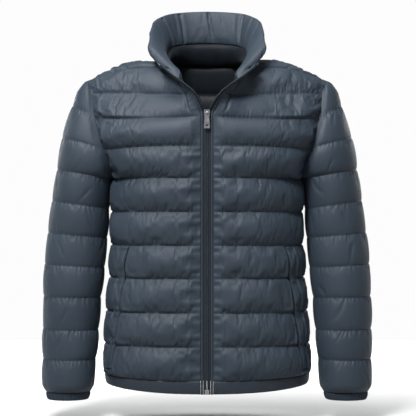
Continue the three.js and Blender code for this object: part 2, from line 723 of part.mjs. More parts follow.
// Moves border points off the seam so that neighbours stay a gap apart
function clearSeams(panel, shared) {
  const { points, own } = panel;
  const [lastRow, lastColumn] = [points.length - 1, points[0].length - 1];
  return points.map((row, j) => row.map((p, i) => {
    const normal = shared.get(keyOf(p)).normal;
    const closed = panel.closedFrom !== undefined && j >= panel.closedFrom;
    const ending = i === 0 || i === lastColumn;
    if (j === 0 && !closed && row[0].distanceTo(row[lastColumn]) < 1e-6) {
      const middle = points[1][Math.round(lastColumn / 2)];
      return p.clone().addScaledVector(middle.clone().sub(p).normalize(), SEAM_GAP);
    }
    if (closed && ending && j === panel.closedFrom && j > 0) {
      return p.clone().add(new THREE.Vector3(0, 0, -SEAM_GAP));
    }
    const beside = (jj, ii) => points[jj]?.[closed ? (ii + lastColumn) % lastColumn : ii];
    const sides = [];
    const addSide = (along, within) => {
      const away = along.cross(normal).normalize();
      const guide = within.normalize().addScaledVector(own[j][i], -INWARD_LEAN);
      if (away.lengthSq() > 0) {
        sides.push(away.multiplyScalar(Math.sign(away.dot(guide)) || 1));
      }
    };
    if (j === 0 || j === lastRow) {
      const inward = beside(j === 0 ? 1 : j - 1, i);
      for (const next of [beside(j, i - 1), beside(j, i + 1)]) {
        if (next) addSide(next.clone().sub(p), inward.clone().sub(p));
      }
    }
    if (ending && !closed) {
      const inward = points[j][i === 0 ? 1 : i - 1];
      for (const next of [points[j - 1]?.[i], points[j + 1]?.[i]]) {
        if (next) addSide(next.clone().sub(p), inward.clone().sub(p));
      }
    }
    const moved = p.clone();
    if (sides.length > 1) {
      const [first, second] = sides;
      const reach = (0.5 * (panel.gap ?? SEAM_GAP)) / Math.max(MITRE_LIMIT, 1 + first.dot(second));
      moved.addScaledVector(first.clone().add(second), reach);
    }
    return moved;
  }));
}

function panelMesh(panel, shared) {
  const wall = new Wall();
  const { points, puffs, innerRows, innerColumns } = panel;
  const base = clearSeams(panel, shared);
  const thick = panel.wall ?? WALL;
  panel.outer = base.map((row, j) => row.map((p, i) =>
    p.clone().addScaledVector(shared.get(keyOf(points[j][i])).normal, puffs[j][i])));
  const outer = panel.outer.map((row) => row.map((p) => wall.vertex(p)));
  const inner = innerRows.map((j) => innerColumns.map((i) => {
    const { normal, stretch } = shared.get(keyOf(points[j][i]));
    return wall.vertex(base[j][i].clone().addScaledVector(normal, -thick * stretch));
  }));
  for (let j = 0; j < outer.length - 1; j += 1) {
    for (let i = 0; i < outer[0].length - 1; i += 1) {
      const [a, b, c, d] = [outer[j][i], outer[j][i + 1], outer[j + 1][i + 1], outer[j + 1][i]];
      if (2 * i < outer[0].length - 1) wall.quad(a, b, c, d);
      else wall.quad(b, c, d, a);
    }
  }
  for (let j = 0; j < inner.length - 1; j += 1) {
    for (let i = 0; i < inner[0].length - 1; i += 1) {
      wall.quad(inner[j][i], inner[j + 1][i], inner[j + 1][i + 1], inner[j][i + 1]);
    }
  }
  const closedFrom = panel.closedFrom ?? Infinity;
  const lastColumn = outer[0].length - 1;
  const openRows = innerRows.filter((j) => j <= closedFrom);
  const openCount = openRows.length;
  wall.strip(outer[0], inner[0], innerColumns);
  wall.strip(reversed(outer.at(-1)), reversed(inner.at(-1)), reversed(innerColumns.map((i) => lastColumn - i)));
  const end = openRows.at(-1);
  const [first, last] = [0, lastColumn].map((i) => outer.slice(0, end + 1).map((row) => row[i]));
  const [innerFirst, innerLast] = [0, -1].map((i) => inner.slice(0, openCount).map((row) => row.at(i)));
  wall.strip(reversed(first), reversed(innerFirst), reversed(openRows.map((j) => end - j)));
  wall.strip(last, innerLast, openRows);
  return wall.mesh(panel.name, panel.slot);
}

const fronts = frontGrid();
const backs = backGrid();
const sleeves = sleeveGrid();
bodyPuffs(fronts, frontShares, FRONT_PUFF, FRONT_EDGE_PUFF, true).forEach((puffs, j) => {
  fronts[j].puffs = puffs;
});
bodyPuffs(backs, () => BACK_COLUMNS, BACK_PUFF, BACK_COLUMNS.map(() => 1), false).forEach((puffs, j) => {
  backs[j].puffs = puffs;
});
const wholeBack = backs.map((row) => ({
  points: [...reversed(row.points), ...flipped(row.points).slice(1)],
  puffs: [...reversed(row.puffs), ...row.puffs.slice(1)],
}));

const every = (count, step) => {
  const list = [];
  for (let i = 0; i < count; i += step) {
    list.push(i);
  }
  if (list.at(-1) !== count - 1) {
    list.push(count - 1);
  }
  return list;
};
const ARM_CLOSED_ROW = sleeves.findIndex((row) => row.at >= ARM_LOWEST_STOP);
const ARMPIT_ROW = ARMPIT_LEVEL * CHANNEL_ROWS.length;
const CAP_INNER_ROWS = [0, 2, 4];
const CAP_FINE_ROW = 4; // from this row to the armpit the sleeve's inner face takes every row
const WEDGE_ROW = TOP_LEVEL * CHANNEL_ROWS.length;
const bodyInnerRows = (count) => every(count, 1).filter((j) => {
  const coarse = j < ARMPIT_ROW || j > WEDGE_ROW;
  return !coarse || j % CHANNEL_ROWS.length === 0;
});
const SIDES = [
  { name: "right", turn: (rows) => rows },
  { name: "left", turn: mirrored },
];
for (const side of SIDES) {
  addPanel(`front_${side.name}`, side.turn(fronts), {
    part: "body",
    slot: "shell",
    innerRows: bodyInnerRows(fronts.length),
    innerColumns: every(fronts[0].points.length, 1),
    zipColumns: [side.name === "right" ? 0 : fronts[0].points.length - 1],
    zipHeights: fronts.map(rowHeight),
  });
  addPanel(`sleeve_${side.name}`, side.turn(sleeves), {
    slot: "shell",
    closedFrom: ARM_CLOSED_ROW,
    innerRows: every(sleeves.length, 1).filter((j) => {
      const coarse = j < CAP_FINE_ROW || j > ARM_CLOSED_ROW;
      return !coarse || CAP_INNER_ROWS.includes(j) || j % CHANNEL_ROWS.length === 0;
    }),
    innerColumns: every(sleeves[0].points.length, 1),
  });
}
addPanel("back", wholeBack, {
  part: "body",
  slot: "shell",
  innerRows: bodyInnerRows(backs.length),
  innerColumns: every(wholeBack[0].points.length, 1),
});

// Puts a point halfway along each piece of a line
function halved(points) {
  return points.flatMap((p, i) => (i === 0 ? [p] : [points[i - 1].clone().lerp(p, 0.5), p]));
}

function collarRows() {
  const backFoot = backs.at(-1).points.slice(0, BACK_NECK_COLUMN + 1);
  const frontFoot = fronts.at(-1).points.slice(0, SHOULDER_COLUMN + 1);
  const foot = halved([...backFoot, ...reversed(frontFoot).slice(1)]);
  const lengths = foot.map((p, i) => (i === 0 ? 0 : p.distanceTo(foot[i - 1])));
  let run = 0;
  const total = lengths.reduce((a, b) => a + b, 0);
  const shares = lengths.map((step) => (run += step) / total);
  const topCurve = smooth([...COLLAR_TOP, zipPoint(ZIP_TOP, PANEL_FROM)]);
  const top = pointsAlong(topCurve, shares);
  const left = (t) => foot[0].clone().lerp(top[0], t);
  const right = (t) => zipPoint(mix(COLLAR_FRONT, ZIP_TOP, t), PANEL_FROM);
  return spread(COLLAR_ROWS, 0, 1).map((t) => {
    const half = patch(foot, top, left, right, shares, t);
    half.forEach((p, i) => {
      const top = 1 - COLLAR_FOLLOW.topLoss * t ** COLLAR_FOLLOW.topPower;
      const near = rise(COLLAR_FOLLOW.from, 1, shares[i]) * COLLAR_FOLLOW.share * t * t * top;
      const away = p.distanceTo(half.at(-1));
      p.lerp(zipPoint(mix(COLLAR_FRONT, ZIP_TOP, t), PANEL_FROM + away), near);
    });
    const puffs = half.map((_, i) => COLLAR_PUFF * puffAt(t) * rise(1, COLLAR_END_FADE, shares[i]));
    return {
      points: [...reversed(half), ...flipped(half).slice(1)],
      puffs: [...reversed(puffs), ...puffs.slice(1)],
    };
  });
}
const collar = collarRows();
addPanel("collar", collar, {
  slot: "collar",
  wall: COLLAR_WALL,
  gap: COLLAR_GAP,
  halvedRow: 0,
  innerRows: every(collar.length, 1),
  innerColumns: every(collar[0].points.length, 2),
  zipColumns: [0, collar[0].points.length - 1],
  zipHeights: spread(COLLAR_ROWS, COLLAR_FRONT, ZIP_TOP),
});

function hemRows() {
  return spread(HEM_BAND.rows * 2, 0, 1).map((t) => {
    const [z, inset] = [mix(HEM_BAND.bottom, LEVEL_Z[0], t), HEM_BAND.inset * (1 - t)];
    const lift = mix(HEM_LIFT.edge, HEM_LIFT.seam, t);
    const front = pointsAlong(levelLine("front", 0, inset, z, lift), frontShares(0));
    const back = pointsAlong(levelLine("back", 0, inset, z, lift), BACK_COLUMNS);
    const half = [...front, ...reversed(back).slice(1)];
    return {
      points: [...half, ...flipped(reversed(half)).slice(1)],
      puffs: Array(2 * half.length - 1).fill(HEM_PUFF * puffAt(t)),
    };
  });
}
const hem = hemRows();
addPanel("hem_band", hem, {
  slot: "band",
  innerRows: [0, hem.length - 1],
  innerColumns: every(hem[0].points.length, 1),
});

function cuffRows() {
  const top = halved(sleeves.at(-1).points);
  const line = { outX: CUFF.outX, midX: CUFF.midX, y: CUFF.y, depth: CUFF.depth, outZ: CUFF.bottom };
  line.midZ = CUFF.bottom;
  const bottom = halved(spread(SLEEVE_COLUMNS, Math.PI, -Math.PI).map((angle) => ringPoint(line, angle)));
  return spread(2, 0, 1).map((t) => ({
    points: top.map((p, i) => p.clone().lerp(bottom[i], t)),
    puffs: top.map((_, i) => (t === 0 ? 0 : CUFF.gatherDepth * (i % 2))),
  }));
}
const cuffs = cuffRows();
for (const side of SIDES) {
  addPanel(`cuff_${side.name}`, side.turn(cuffs), {
    slot: "elastic",
    wall: CUFF.wall,
    closedFrom: 0,
    halvedRow: 0,
    innerRows: [0, cuffs.length - 1],
    innerColumns: every(cuffs[0].points.length, 2),
  });
}

// A strip with a four-cornered section that follows the teeth edge
function zipStrip(name, slot, mirror, strip, heights) {
  const wall = new Wall();
  const corners = [
    [strip.from, strip.back],
    [strip.to, strip.back],
    [strip.to, strip.front],
    [strip.from, strip.front],
  ];
  const rings = heights.map((z) => corners.map(([away, front]) => {
    const p = zipPoint(z, away, front);
    p.x *= mirror;
    return wall.vertex(sway(p));
  }));
  for (let k = 0; k < rings.length - 1; k += 1) {
    for (let c = 0; c < 4; c += 1) {
      const d = (c + 1) % 4;
      wall.quad(rings[k][c], rings[k][d], rings[k + 1][d], rings[k + 1][c]);
    }
  }
  wall.quad(...reversed(rings[0]));
  wall.quad(...rings.at(-1));
  return wall.mesh(name, slot);
}

// The teeth edge's heights at which panels, bindings and tapes all have a point
const OPENING_LOW = -130;
const zipHeights = [...new Set([
  ...ZIP_EDGE.map((line) => line.z),
  ...fronts.map(rowHeight).filter((z) => z > OPENING_LOW),
  ...spread(COLLAR_ROWS, COLLAR_FRONT, ZIP_TOP),
])].sort((a, b) => a - b);

// A pocket welt lies on two columns of its front, a gap above the cloth
function weltMesh(front, side) {
  const wall = new Wall();
  const count = front.outer[0].length - 1;
  const first = side === "left" ? count - WELT_COLUMN - 1 : WELT_COLUMN;
  const pair = [first, first + 1];
  const rows = [];
  for (let j = WELT.bottomRow + 1; j < WELT.topRow; j += 1) {
    const [a, b] = pair.map((i) => front.outer[j][i]);
    const up = front.outer[j + 1][pair[0]].clone().sub(front.outer[j - 1][pair[0]]);
    const out = b.clone().sub(a).cross(up).normalize();
    rows.push({ a: a.clone().lerp(b, WELT_EDGE), b: b.clone().lerp(a, WELT_EDGE), out });
  }
  const layers = [WELT_LIFT, WELT_LIFT + WELT.thickness].map((lift) => rows.map((row) =>
    [row.a, row.b].map((p) => wall.vertex(p.clone().addScaledVector(row.out, lift)))));
  const [low, high] = layers;
  for (let j = 0; j < rows.length - 1; j += 1) {
    wall.quad(high[j][0], high[j][1], high[j + 1][1], high[j + 1][0]);
    wall.quad(low[j][0], low[j + 1][0], low[j + 1][1], low[j][1]);
    wall.quad(low[j][0], high[j][0], high[j + 1][0], low[j + 1][0]);
    wall.quad(high[j][1], low[j][1], low[j + 1][1], high[j + 1][1]);
  }
  wall.quad(low[0][0], low[0][1], high[0][1], high[0][0]);
  wall.quad(high.at(-1)[0], high.at(-1)[1], low.at(-1)[1], low.at(-1)[0]);
  return wall.mesh(`pocket_welt_${side}`, "shell");
}

function toManifold(geometry) {
  const bare = new THREE.BufferGeometry();
  bare.setAttribute("position", geometry.getAttribute("position"));
  bare.setIndex(geometry.getIndex());
  const merged = mergeVertices(bare, 1e-4);
  return new Manifold(new Mesh({
    numProp: 3,
    vertProperties: Float32Array.from(merged.getAttribute("position").array),
    triVerts: Uint32Array.from(merged.getIndex().array),
  }));
}

function fromManifold(solid, name, slot) {
  const mesh = solid.getMesh();
  const geometry = new THREE.BufferGeometry();
  geometry.setAttribute("position", new THREE.Float32BufferAttribute(mesh.vertProperties, 3));
  geometry.setIndex([...mesh.triVerts]);
  return named(geometry, name, slot);
}

// An outline in X and Z given thickness along Y, from `back` towards the front
function plate(outline, back, thickness, holes = []) {
  const shape = new THREE.Shape(outline.map(([x, z]) => new THREE.Vector2(x, z)));
  shape.holes = holes;
  const geometry = new THREE.ExtrudeGeometry(shape, {
    depth: thickness,
    bevelEnabled: false,
    curveSegments: 6,
  });
  geometry.rotateX(Math.PI / 2);
  geometry.translate(0, back, 0);
  return geometry;
}

function roundedOutline(corners, radius) {
  const points = [];
  corners.forEach((corner, i) => {
    const here = new THREE.Vector2(...corner);
    const before = new THREE.Vector2(...corners[(i + corners.length - 1) % corners.length]);
    const after = new THREE.Vector2(...corners[(i + 1) % corners.length]);
    const start = here.clone().add(before.sub(here).setLength(radius));
    const end = here.clone().add(after.sub(here).setLength(radius));
    const bend = new THREE.QuadraticBezierCurve(start, here, end);
    points.push(...bend.getPoints(4).map((p) => [p.x, p.y]));
  });
  return points;
}

function sliderMesh() {
  const outline = roundedOutline([
    [-SLIDER.halfBottom, SLIDER.bottom],
    [SLIDER.halfBottom, SLIDER.bottom],
    [SLIDER.halfTop, SLIDER.top],
    [-SLIDER.halfTop, SLIDER.top],
  ], SLIDER.corner);
  const face = SLIDER.back - SLIDER.thickness;
  const body = plate(outline, SLIDER.back, SLIDER.thickness);
  const arch = new THREE.Shape();
  const root = face + BRIDGE.sunk - HINGE.y;
  arch.moveTo(root, -BRIDGE.outer);
  arch.lineTo(0, -BRIDGE.outer);
  arch.absarc(0, 0, BRIDGE.outer, -Math.PI / 2, Math.PI / 2, true);
  arch.lineTo(root, BRIDGE.outer);
  arch.lineTo(root, BRIDGE.inner);
  arch.lineTo(0, BRIDGE.inner);
  arch.absarc(0, 0, BRIDGE.inner, Math.PI / 2, -Math.PI / 2, false);
  arch.lineTo(root, -BRIDGE.inner);
  const bridge = new THREE.ExtrudeGeometry(arch, {
    depth: BRIDGE.width,
    bevelEnabled: false,
    curveSegments: 10,
  });
  bridge.translate(0, 0, -BRIDGE.width / 2);
  // The outline's plane is turned so that its first axis runs along Y and its second along Z
  bridge.applyMatrix4(new THREE.Matrix4().makeBasis(
    new THREE.Vector3(0, 1, 0),
    new THREE.Vector3(0, 0, 1),
    new THREE.Vector3(1, 0, 0),
  ));
  bridge.translate(0, HINGE.y, HINGE.z);
  return fromManifold(toManifold(body).add(toManifold(bridge)), "zip_slider", "metal");
}

function pullMesh() {
  const z = (height) => HINGE.z + height;
  const outline = roundedOutline([
    [-PULL.halfBottom, z(-PULL.length)],
    [PULL.halfBottom, z(-PULL.length)],
    [PULL.halfTop, z(PULL.bar)],
    [-PULL.halfTop, z(PULL.bar)],
  ], PULL.corner);
  const window = new THREE.Path([
    [-PULL.windowHalf, z(PULL.windowEnd)],
    [-PULL.windowHalf, z(-PULL.bar)],
    [PULL.windowHalf, z(-PULL.bar)],
    [PULL.windowHalf, z(PULL.windowEnd)],
  ].map(([x, h]) => new THREE.Vector2(x, h)));
  const slot = new THREE.Path();
  slot.absellipse(0, z(PULL.slot.z), PULL.slot.halfWidth, PULL.slot.halfHeight, 0, 2 * Math.PI, true);
  const back = HINGE.y + PULL.thickness / 2;
  const solid = toManifold(plate(outline, back, PULL.thickness, [window, slot]));
  return fromManifold(solid, "zip_pull", "metal");
}

function boxMesh() {
  const outline = roundedOutline([
    [-ZIP_BOX.half, ZIP_BOX.bottom],
    [ZIP_BOX.half, ZIP_BOX.bottom],
    [ZIP_BOX.half, ZIP_BOX.top],
    [-ZIP_BOX.half, ZIP_BOX.top],
  ], ZIP_BOX.corner);
  const solid = toManifold(plate(outline, ZIP_BOX.back, ZIP_BOX.thickness));
  return fromManifold(solid, "zip_box", "metal");
}

function jacket() {
  const group = new THREE.Group();
  group.name = "puffer_jacket";
  const shared = shareNormals();
  for (const panel of GARMENT) {
    group.add(panelMesh(panel, shared));
  }
  for (const [name, mirror] of [["right", 1], ["left", -1]]) {
    group.add(zipStrip(`zip_tape_${name}`, "zip_tape", mirror, TAPE, zipHeights));
    group.add(zipStrip(`placket_${name}`, "band", mirror, PLACKET, zipHeights));
    group.add(zipStrip(`top_stop_${name}`, "metal", mirror, TOP_STOP, [ZIP_TOP - TOP_STOP.height, ZIP_TOP]));
    group.add(weltMesh(GARMENT.find((panel) => panel.name === `front_${name}`), name));
  }
  group.add(sliderMesh(), pullMesh(), boxMesh());
  return group;
}

export default jacket();
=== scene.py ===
import math

import bpy
import mathutils
import numpy as np
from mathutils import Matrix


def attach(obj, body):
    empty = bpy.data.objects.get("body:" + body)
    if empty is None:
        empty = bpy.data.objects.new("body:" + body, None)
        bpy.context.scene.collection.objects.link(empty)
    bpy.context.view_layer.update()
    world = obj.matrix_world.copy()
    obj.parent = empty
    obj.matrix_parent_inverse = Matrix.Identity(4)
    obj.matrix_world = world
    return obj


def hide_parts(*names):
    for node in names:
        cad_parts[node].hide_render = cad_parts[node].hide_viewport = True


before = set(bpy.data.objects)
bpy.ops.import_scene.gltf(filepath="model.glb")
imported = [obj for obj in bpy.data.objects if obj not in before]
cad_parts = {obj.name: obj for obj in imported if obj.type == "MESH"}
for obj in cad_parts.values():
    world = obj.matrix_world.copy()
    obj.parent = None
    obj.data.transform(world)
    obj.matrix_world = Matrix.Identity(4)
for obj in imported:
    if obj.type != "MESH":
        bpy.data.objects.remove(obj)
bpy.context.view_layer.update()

MM = 0.001

# Padding, in millimetres
WALL = 3.0
FRONT_PUFF = 10.0
BACK_PUFF = 9.0
SIDE_PUFF = 4.5
ARMPIT_PUFF = 0.4
SLEEVE_PUFF = 6.5
OUTER_SLEEVE_PUFF = 4.5
INNER_SLEEVE_PUFF = 3.0
COLLAR_PUFF = 6.0
HEM_PUFF = 1.5
FULL_PUFF_WIDTH = 52.0
PUFF_POWER = 0.55
SAG = 0.94  # under 1 the filling settles low in its channel
LINING_PUFF = 8.0

# Stitch lines of the body from the hem up: height, half width, front and back depth
BODY_LEVELS = np.array([
    (-636.5, 204, 124, 109),
    (-571, 202, 125, 109),
    (-506, 198, 124, 106),
    (-440, 192, 122, 101),
    (-376, 189, 121, 98),
    (-311, 189, 123, 100),
    (-246, 186, 126, 105),
    (-184, 186, 126, 110),
    (-124, 186, 121, 111),
    (-72, 186, 106, 107),
], float)
ARMPIT_LEVEL = 6
TOP_LEVEL = 9
HEM_LIFT = {"seam": 6.0, "edge": 11.0}
HEM_BOTTOM = -662.0
HEM_INSET = 3.0
SECTION_FULLNESS = {"front": 0.64, "back": 0.6, "side": 0.6}

ARMHOLE = {
    "front": [
        (186, 0, -246), (187, -29, -240), (189, -47, -226), (195, -58, -206), (203, -62, -187),
        (213, -59, -156), (221, -50, -126), (225, -43, -101), (228, -35, -77), (233, -22, -60),
        (238, -6, -50),
    ],
    "back": [
        (186, 0, -246), (187, 30, -239), (189, 47, -225), (194, 57, -205), (200, 61, -187),
        (210, 59, -156), (217, 53, -126), (223, 46, -101), (227, 37, -77), (234, 17, -60),
        (238, -6, -50),
    ],
}
ARMHOLE_STOPS = [0, 4, 6, 8, 10]  # places on the armhole where the levels 6 to 10 meet it
ARMHOLE_ANGLE = [90, 52, 44, 35]
ARMHOLE_PULL = 0.56

# The open zip's teeth edge: height, distance from the centre, depth, turn towards the back in degrees
ZIP_EDGE = np.array([
    (-662, 0, -124, 0),
    (-571, 0, -125, 0),
    (-440, 0, -122, 0),
    (-376, 0, -121, 0),
    (-246, 0, -126, 0),
    (-150, 0, -125, 0),
    (-123, 0, -125, 0),
    (-116, 2.4, -126.5, 8),
    (-106, 8, -132, 24),
    (-92, 16, -137, 42),
    (-79, 27, -138, 56),
    (-66, 43, -133, 70),
    (-50, 65, -122, 84),
    (-33, 85, -107, 94),
    (-22, 95, -95, 98),
], float)
ZIP_TOP = -22.0
COLLAR_FRONT = -55.0
PANEL_FROM = 12.1
LAPEL_REACH = 62.0
LAPEL_TURN = 40  # turn of the zip, in degrees, at which the lapel lies open
ZIP_STEP = 3
CHEST_EASE = {"levels": (6.6, 7.4), "passes": 90}

NECK_FOOT = [
    (0, 80, 33), (38, 75, 31), (68, 52, 24), (82, 14, 11), (82, -20, -4), (75, -52, -20),
    (63, -80, -33), (52, -101, -45),
]
NECK_STOP = 5 / len(NECK_FOOT)  # where the shoulder seam meets the collar's foot
COLLAR_TOP = [
    (0, 86, 99.5), (45, 81, 97), (80, 60, 90), (103, 28, 75), (112, -8, 53), (114, -42, 27),
    (115, -68, 3),
]
COLLAR_FOLLOW = {"from": 0.8, "share": 1.6, "lets_go": 0.85}
COLLAR_END = (1, 0.9)
SHOULDER_SEAM = [
    (75, -52, -20), (99, -51, -26), (130, -42, -27), (163, -30, -29), (200, -18, -38), (238, -6, -50),
]
YOKE_LINE = [(0, 99, -14), (60, 93, -10), (110, 70, -10), (160, 44, -21), (205, 22, -38)]
YOKE_ARCH = {"low": 3.0, "high": 4.0, "from": 0.82, "full": 0.55, "neck": (0.36, 0.6)}
NECK_SHARE = {"front": 0.28, "back": 0.39}  # share of a panel's width that lies under the collar
NECK_BEGIN = {"front": 1, "back": 0}  # place on the neck's curve where each panel's top edge begins
FRONT_EDGE_SHARES = [0, 0.03, 0.08, 0.18, 1]
FRONT_EDGE_PUFF = [0, 0.25, 0.8, 1, 1]
# Padding towards the side: levels where it thins and where it draws back, shares where that begins
SIDE_FADE = {"thins": (3.5, ARMPIT_LEVEL), "draws_back": (5, 7), "from": (0.75, 0.9)}
CHANNEL_ROWS = {"even": 0.65, "bunched": 0.35}  # how the rows of a channel close up at its stitch lines

# The sleeve: stitch line count, outer side, centre, place and half size front to back, sweep in degrees
SLEEVE_LEVELS = np.array([
    (0, 238, -50, 238, -50, -6, 0, 90),
    (0.12, 243, -52, 236, -57, -3, 16, 90),
    (0.67, 259, -74, 228, -78, 1, 36, 90),
    (1, 268, -101, 220, -120, 0, 51, 91),
    (2, 288, -164, 231, -177, -1, 64, 120),
    (3, 298, -227, 242, -236.5, 0, 66, 180),
    (4, 308, -289, 252, -297, -1, 64, 180),
    (5, 316, -352, 258, -357, -4, 61, 180),
    (6, 322, -414, 263.5, -417.5, -9, 58, 180),
    (7, 324, -478, 268, -479, -14, 56, 180),
    (8, 324.5, -542, 270.5, -543, -20, 53, 180),
    (9, 324, -601, 272.5, -601, -26, 50, 180),
    (9.8, 323, -653, 274, -653, -31, 46, 180),
    (10, 317.5, -666, 274.3, -666, -32, 37, 180),
], float)
# The cap: stitch line count, and the place on the armhole that it meets
CAP_STOPS = np.array([
    (0, 10), (0.05, 9.5), (0.12, 9), (0.36, 8.5), (0.67, 8), (1, 6), (2, 4), (3, 0),
], float)
CAP_BOTTOM = 3
# Where the sleeve's padding changes: degrees round from its outer side, levels, shares beside the seam
SLEEVE_FADE = {"outer": (20, 60), "inner": (110, 170), "armpit": (3, 5), "seam": (1, 0.8), "cap": (0, 0.3)}
CUFF = {"bottom": -681.0, "out": 314.5, "mid": 275.0, "y": -33.0, "depth": 36.0, "wall": 2.4}
WELT = {"top": 4.0, "bottom": 0.2, "top_share": 0.61, "bottom_share": 0.73, "width": 0.075,
        "groove": 4.0, "groove_at": -0.004, "groove_width": 0.009, "groove_ends": (0.2, 0.15),
        "flattens": 0.85, "side_fade": (0.02, 0.004), "end_fade": (0.05, 0.1)}
# The welt's own cloth: its net, margins in levels and shares, creases, and heights over the front
WELT_NET = {"rows": 90, "columns": 9, "from_end": 0.06, "from_side": 0.04}
WELT_CREASE = {"count": 26, "depth": 0.5, "slant": 0.01, "width": 0.006}
WELT_HEIGHT = {"edge": 1.6, "middle": 1.6, "roundness": 0.4, "under": 0.3}
SWAY = {"shift": 6.0, "low_z": -125, "high_z": -30, "back_y": -50, "front_y": -110}


def rise(low, high, x):
    t = np.clip((np.asarray(x, float) - low) / (high - low), 0, 1)
    return t * t * (3 - 2 * t)


def mix(a, b, t):
    return a + (b - a) * t


def read_table(table, x):
    """All columns of a table at a value of its first one."""
    order = 1 if table[-1, 0] > table[0, 0] else -1
    return np.array([np.interp(x * order, table[:, 0] * order, column) for column in table.T[1:]])


CURVE_STEPS = np.linspace(0, 1, 201)


class Curve:
    """A curve that can be read at even parameter steps or at shares of its length."""

    def __init__(self, points_at):
        self.points_at = points_at
        samples = points_at(CURVE_STEPS)
        steps = np.linalg.norm(np.diff(samples, axis=0), axis=1)
        self.run = np.concatenate([[0], np.cumsum(steps)])

    def share(self, u):
        t = np.interp(np.asarray(u, float) * self.run[-1], self.run, CURVE_STEPS)
        return self.points_at(t)


def smooth(points):
    """A centripetal Catmull-Rom curve through points."""
    p = np.array(points, float)
    full = np.vstack([2 * p[0] - p[1], p, 2 * p[-1] - p[-2]])

    def points_at(t):
        place = np.atleast_1d(np.asarray(t, float)) * (len(p) - 1)
        i = np.clip(np.floor(place).astype(int), 0, len(p) - 2)
        w = (place - i)[:, None]
        p0, p1, p2, p3 = full[i], full[i + 1], full[i + 2], full[i + 3]
        pairs = ((p0, p1), (p1, p2), (p2, p3))
        d0, d1, d2 = [np.linalg.norm(b - a, axis=1)[:, None] ** 0.5 for a, b in pairs]
        m1 = ((p1 - p0) / d0 - (p2 - p0) / (d0 + d1) + (p2 - p1) / d1) * d1
        m2 = ((p2 - p1) / d1 - (p3 - p1) / (d1 + d2) + (p3 - p2) / d2) * d1
        return p1 + m1 * w + (-3 * p1 + 3 * p2 - 2 * m1 - m2) * w**2 + (2 * p1 - 2 * p2 + m1 + m2) * w**3

    return Curve(points_at)


def bezier(a, b, c, d):
    def points_at(t):
        w = np.atleast_1d(np.asarray(t, float))[:, None]
        return a * (1 - w) ** 3 + 3 * b * w * (1 - w) ** 2 + 3 * c * w**2 * (1 - w) + d * w**3

    return Curve(points_at)


ARMHOLE_CURVE = {face: smooth(points) for face, points in ARMHOLE.items()}
SHOULDER_CURVE = smooth(SHOULDER_SEAM)


def zip_frame(z):
    """The teeth edge at a height: its place, and the directions across the tape and out of its face."""
    edge = lambda h: np.append(read_table(ZIP_EDGE, h)[:2], h)
    along = edge(min(ZIP_TOP, z + ZIP_STEP)) - edge(max(HEM_BOTTOM, z - ZIP_STEP))
    along /= np.linalg.norm(along)
    turn = math.radians(read_table(ZIP_EDGE, z)[2])
    across = np.array([math.cos(turn), math.sin(turn), 0])
    across -= along * across.dot(along)
    across /= np.linalg.norm(across)
    out = np.cross(across, along)
    return edge(z), along, across, out / np.linalg.norm(out)


def zip_point(z, away, front=0.0):
    at, _, across, out = zip_frame(z)
    return at + across * away + out * front


NECK_CURVE = smooth(NECK_FOOT + [tuple(zip_point(COLLAR_FRONT, PANEL_FROM))])


def armhole_point(face, level):
    stop = np.interp(level, [6, 7, 8, 9, 10], ARMHOLE_STOPS)
    return ARMHOLE_CURVE[face].points_at(stop / 10)[0]


def level_line(face, level, inset=0.0, height=None, lift=None):
    i = min(TOP_LEVEL - 1, int(level))
    z, half, front, back = mix(BODY_LEVELS[i], BODY_LEVELS[i + 1], level - i)
    z = z if height is None else height
    depth = (front if face == "front" else back) - inset
    sign = -1 if face == "front" else 1
    angle = 90.0
    if level < ARMPIT_LEVEL:
        lift = HEM_LIFT["seam"] * max(0, 1 - level) if lift is None else lift
        end = np.array([half - inset, 0, z + lift])
    else:
        end = armhole_point(face, level)
        angle = np.interp(level, [6, 7, 8, 9], ARMHOLE_ANGLE)
    if face == "front":
        start = zip_point(z, PANEL_FROM) + np.array([0, inset, 0])
        turn = read_table(ZIP_EDGE, z)[2]
        reach = mix(SECTION_FULLNESS["front"] * (end[0] - start[0]), LAPEL_REACH, min(1, turn / LAPEL_TURN))
        leave = zip_frame(z)[2] * reach
    else:
        start = np.array([0, depth, z])
        leave = np.array([SECTION_FULLNESS["back"] * end[0], 0, 0])
    pull = SECTION_FULLNESS["side"] if level < ARMPIT_LEVEL else ARMHOLE_PULL
    angle = math.radians(angle)
    back_off = pull * abs(start[1] - end[1]) / math.sin(angle)
    handle = end + np.array([-math.cos(angle), sign * math.sin(angle), 0]) * back_off
    return bezier(start, start + leave, handle, end)


def patch_rows(bottom, top, left, right, shares, rows):
    """Rows across a four-sided patch."""
    result = []
    u = np.asarray(shares)[:, None]
    for t in rows:
        sides = mix(left(t), right(t), u)
        corners = mix(mix(bottom[0], bottom[-1], u), mix(top[0], top[-1], u), t)
        result.append(mix(bottom, top, t) + sides - corners)
    return result


def eased(points, strength, passes):
    """Rounds off the sharp turns of a grid; its edges stay where they are."""
    for _ in range(passes):
        around = (points[:-2, 1:-1] + points[2:, 1:-1] + points[1:-1, :-2] + points[1:-1, 2:]) / 4
        points[1:-1, 1:-1] += strength[1:-1, 1:-1, None] * (around - points[1:-1, 1:-1])
    return points


def puff_at(share):
    low = np.asarray(share, float) ** SAG
    return np.maximum(0, 4 * low * (1 - low)) ** PUFF_POWER


class Grid:
    """Rows of points over a panel, with each point's place in its channel and its own padding."""

    def __init__(self):
        self.rows = []
        self.puffs = []
        self.share = []
        self.level = []

    def add(self, points, puffs, share, level):
        self.rows.append(points)
        self.puffs.append(puffs)
        self.share.append(share)
        self.level.append(level)

    def finish(self):
        self.points = np.array(self.rows)
        self.puff = np.array(self.puffs)
        self.share = np.array(self.share)
        self.level = np.array(self.level)
        return self


